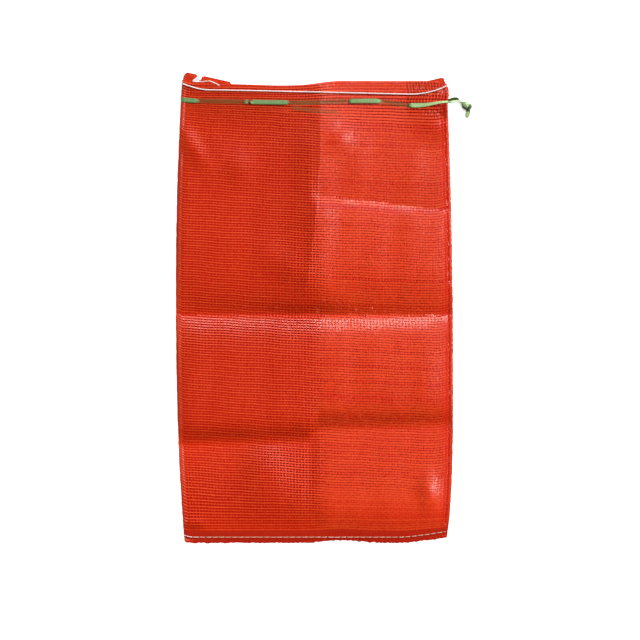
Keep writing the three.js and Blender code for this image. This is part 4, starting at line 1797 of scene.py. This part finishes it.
@dataclass(frozen=True)
class Thread:
    """Two-ply sewing thread: two strands wound round each other."""

    strand: float
    spread: float
    twist: float
    sides: int = 7
    tint: float = 0.6
    facing_shade: float = 0.4

    def shell(self, line: Array, clean_and_lit: Array | float = 1.0) -> Shell:
        """Two tubes on a helix round a line, half a turn apart, with painted shade where they face the other
        strand.

        Args:
            line: the middle of the thread.
            clean_and_lit: how clean the thread is, at each point or for all.

        Returns:
            Both strands as one mesh.
        """
        tangent = unit(np.gradient(line, axis=0))
        across = unit(np.cross(UPWARD, tangent))
        out = np.cross(tangent, across)
        wind = TURN * run_of(line) / self.twist
        phase = wind[None, :] + np.array([[0.0], [np.pi]])
        offset = across[None] * np.cos(phase)[..., None] + out[None] * np.sin(phase)[..., None]
        angle = TURN * np.arange(self.sides) / self.sides
        ring = across[:, None] * np.cos(angle)[None, :, None] + out[:, None] * np.sin(angle)[None, :, None]
        rings = (line[None] + offset * self.spread)[:, :, None] + ring[None] * self.strand
        facing = (offset[:, :, None] * ring[None]).sum(axis=-1)
        clean_and_lit = np.broadcast_to(clean_and_lit, line.shape[:1])[None, :, None]
        # painted shade where a strand faces the other one
        return Shell.tubes(rings, {"tint": (self.tint + self.facing_shade * facing) * clean_and_lit})


@dataclass(frozen=True)
class Curl:
    """How a row of stitches rises at one end: by how much, from how far, and on what power."""

    rise: float
    reach: float
    power: float

    def at(self, distance: Array) -> Array:
        """Rise at a distance from the end."""
        return self.rise * (1.0 - ramp(distance, 0.0, self.reach)) ** self.power


@dataclass(frozen=True)
class Seam:
    """Row of stitches across the bag: where it runs, how its ends curl and how its thread dips."""

    left: float
    right: float
    y: float
    slope: float
    left_curl: Curl
    right_curl: Curl
    lift: float
    pitch: float
    dip: float
    dip_power: int
    lowest: float = 1.2 * MM
    step: float = 0.55 * MM

    def line(self, top: Callable[[Array, Array], Array]) -> Array:
        """Line of the thread: a slight slope with curled ends, which goes down once for each stitch.

        Args:
            top: the height of the net at a place.

        Returns:
            The points of the line.
        """
        x = np.linspace(self.left, self.right, int((self.right - self.left) / self.step))
        curls = self.left_curl.at(x - self.left) + self.right_curl.at(self.right - x)
        y = self.y + self.slope * x + curls
        dip = self.dip * np.abs(np.cos(np.pi * x / self.pitch)) ** self.dip_power
        z = np.maximum(top(x, y) + self.lift - dip, self.lowest)
        return np.stack([x, y, z], axis=1)


@dataclass(frozen=True)
class Sewing:
    """Threads of the two hems and the loose end at the left corner of the mouth."""

    form: BagForm
    crease: float = 1.4
    white: ThreadFinish = ThreadFinish("white_thread", dull=(0.74, 0.66, 0.63), clean_and_lit=(0.97, 0.95, 0.93))
    stained: ThreadFinish = ThreadFinish("stained_thread", dull=(0.52, 0.2, 0.085), clean_and_lit=(0.9, 0.85, 0.8))
    mouth_thread: Thread = Thread(0.62 * MM, 0.5 * MM, 4.2 * MM)
    mouth_seam: Seam = Seam(
        left=-215.5 * MM,
        right=215.5 * MM,
        y=352.8 * MM,
        slope=-0.021,
        left_curl=Curl(9.5 * MM, 40.0 * MM, 1.6),
        right_curl=Curl(14.8 * MM, 60.0 * MM, 2.0),
        lift=1.35 * MM,
        pitch=9.5 * MM,
        dip=0.9 * MM,
        dip_power=10,
    )
    base_thread: Thread = Thread(0.44 * MM, 0.34 * MM, 3.6 * MM)
    base_seam: Seam = Seam(
        left=-213.0 * MM,
        right=214.5 * MM,
        y=-375.0 * MM,
        slope=0.0,
        left_curl=Curl(3.0 * MM, 14.0 * MM, 1.5),
        right_curl=Curl(9.0 * MM, 72.0 * MM, 1.3),
        lift=1.05 * MM,
        pitch=10.5 * MM,
        dip=4.0 * MM,
        dip_power=8,
    )
    base_clean: Change = Change(1.4, 0.05, 8.0 * MM, 30.0 * MM)
    loose: Thread = Thread(0.45 * MM, 0.38 * MM, 3.4 * MM)
    loose_points: int = 150
    loose_route: tuple[Point, ...] = (
        (-0.1895, 0.3800, 0.0028),
        (-0.1945, 0.3760, 0.0028),
        (-0.1994, 0.3717, 0.0028),
        (-0.1930, 0.3705, 0.0028),
        (-0.1840, 0.3707, 0.0028),
        (-0.1760, 0.3716, 0.0030),
        (-0.1700, 0.3706, 0.0074),
        (-0.1625, 0.3675, 0.0104),
        (-0.1556, 0.3636, 0.0105),
    )
    fibre: Thread = Thread(0.2 * MM, 0.14 * MM, 3.0 * MM)
    fibres: int = 12
    fibre_points: int = 12
    fibre_start: float = 0.2
    fibre_bend: Point = (-0.1990, 0.3716, 0.0028)
    fibre_low: Point = (-0.1890, 0.3706, 0.0026)
    fibre_high: Point = (-0.1905, 0.3792, 0.0026)

    def fuzz(self) -> Shell:
        """Loose fibres between the two arms of the thread end: straight lines, longer away from its bend."""
        bend, low, high = (np.array(point) for point in (self.fibre_bend, self.fibre_low, self.fibre_high))
        shares = np.linspace(self.fibre_start, 1.0, self.fibres)
        ends = [(blend(bend, low, share), blend(bend, high, share)) for share in shares]
        lines = [np.linspace(start, end, self.fibre_points) for start, end in ends]
        return Shell.join([self.fibre.shell(line) for line in lines])

    def build(self) -> None:
        """Makes the three threads."""
        white = self.white.material()
        stained = self.stained.material()
        mouth = self.mouth_thread.shell(self.mouth_seam.line(self.form.front_z))
        base_line = self.base_seam.line(self.form.hem_level)
        base = self.base_thread.shell(base_line, self.base_clean.at(base_line[:, 0] - self.base_seam.left))
        end = Shell.join([self.loose.shell(smooth_line(self.loose_route, self.loose_points)), self.fuzz()])
        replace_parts(mouth.piece("mouth_sewing", white, Slot.THREAD, self.crease), "mouth_stitch")
        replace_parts(base.piece("base_sewing", stained, Slot.THREAD, self.crease), "base_stitch")
        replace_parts(end.piece("loose_thread_end", white, Slot.THREAD, self.crease), "loose_thread")


# Light, floor and camera


@dataclass(frozen=True)
class Lamp:
    """Far soft light: where it shines from, its strength, and how wide it looks from the bag in radians."""

    name: str
    place: Point
    strength: float
    spread: float

    def build(self) -> None:
        """Puts the light into the scene, turned to the bag."""
        data = bpy.data.lights.new(self.name, "SUN")
        data.energy = self.strength
        data.angle = self.spread
        made = bpy.data.objects.new(self.name, data)
        made.location = self.place
        made.rotation_mode = "QUATERNION"
        made.rotation_quaternion = made.location.to_track_quat("Z", "Y")
        bpy.context.scene.collection.objects.link(made)


@dataclass(frozen=True)
class Studio:
    """Camera straight above the bag, a pale floor and soft light from the upper right."""

    view_x: float = 9.0 * MM
    view_y: float = -19.6 * MM
    view_width: float = 1.047
    lens: float = 105.0
    sensor: float = 36.0
    focus_z: float = 5.0 * MM
    floor_half: float = 12.0
    sky: float = 0.02
    lamps: tuple[Lamp, ...] = (
        Lamp("key_light", (0.9, 0.5, 0.54), 3.0, 0.4),
        Lamp("high_light", (0.05, 0.8, 1.1), 1.7, 0.3),
        Lamp("side_light", (0.78, 0.15, 1.1), 1.35, 0.3),
        Lamp("fill_light", (-1.3, -0.3, 0.75), 0.35, 0.8),
    )

    def camera(self) -> None:
        """Camera that looks straight down and sees the view's width at the bag's height."""
        data = bpy.data.cameras.new("camera")
        data.lens = self.lens
        data.sensor_width = self.sensor
        made = bpy.data.objects.new("camera", data)
        away = self.view_width * self.lens / self.sensor
        made.location = (self.view_x, self.view_y, self.focus_z + away)
        bpy.context.scene.collection.objects.link(made)
        bpy.context.scene.camera = made

    def floor(self) -> None:
        """Large flat floor just under the bag."""
        half = self.floor_half
        mesh = bpy.data.meshes.new("floor")
        corners = [(-half, -half, 0.0), (half, -half, 0.0), (half, half, 0.0), (-half, half, 0.0)]
        mesh.from_pydata(corners, [], [(0, 1, 2, 3)])
        mesh.materials.append(FloorFinish().material())
        made = bpy.data.objects.new("floor", mesh)
        bpy.context.scene.collection.objects.link(made)

    def light(self) -> None:
        """Faint white sky, three lights from the upper right and above, and a weak one from the left."""
        world = bpy.data.worlds.new("studio")
        world.use_nodes = True
        sky = world.node_tree.nodes["Background"]
        sky.inputs["Color"].default_value = (1.0, 1.0, 1.0, 1.0)
        sky.inputs["Strength"].default_value = self.sky
        bpy.context.scene.world = world
        for lamp in self.lamps:
            lamp.build()
        bpy.context.scene.view_settings.view_transform = "Standard"


def main() -> None:
    """Builds the bag and its studio."""
    logging.basicConfig(level=logging.INFO, format="%(message)s")
    studio = Studio()
    studio.camera()
    laced = BraidFinish("cord_green", dark=(0.012, 0.1, 0.008), light=(0.55, 0.75, 0.32))
    # the knot's finish has a deeper dark end for its painted shade
    tied = BraidFinish("cord_tied_green", dark=(0.012, 0.05, 0.004), light=(0.42, 0.57, 0.26), gloss=0.3)
    # painted highlight: a pale copy of the cord's green for the front tail
    pale = BraidFinish("cord_green_painted_highlight", dark=(0.1, 0.27, 0.07), light=(0.82, 0.9, 0.66))
    # painted shade: a dark copy of the cord's green for the back tail
    dark = BraidFinish(
        "cord_green_painted_shade",
        dark=(0.02, 0.055, 0.0005),
        light=(0.45, 0.56, 0.3),
        gloss=0.05,
        sheen=0.0,
    )
    StringEnds().build(tied.material(), pale.material(), dark.material())
    form = BagForm()
    drawstring = Drawstring(form)
    drawstring.build(laced.material())
    NetBag(form, drawstring).build()
    Sewing(form).build()
    studio.floor()
    studio.light()


if __name__ == "__main__":
    main()
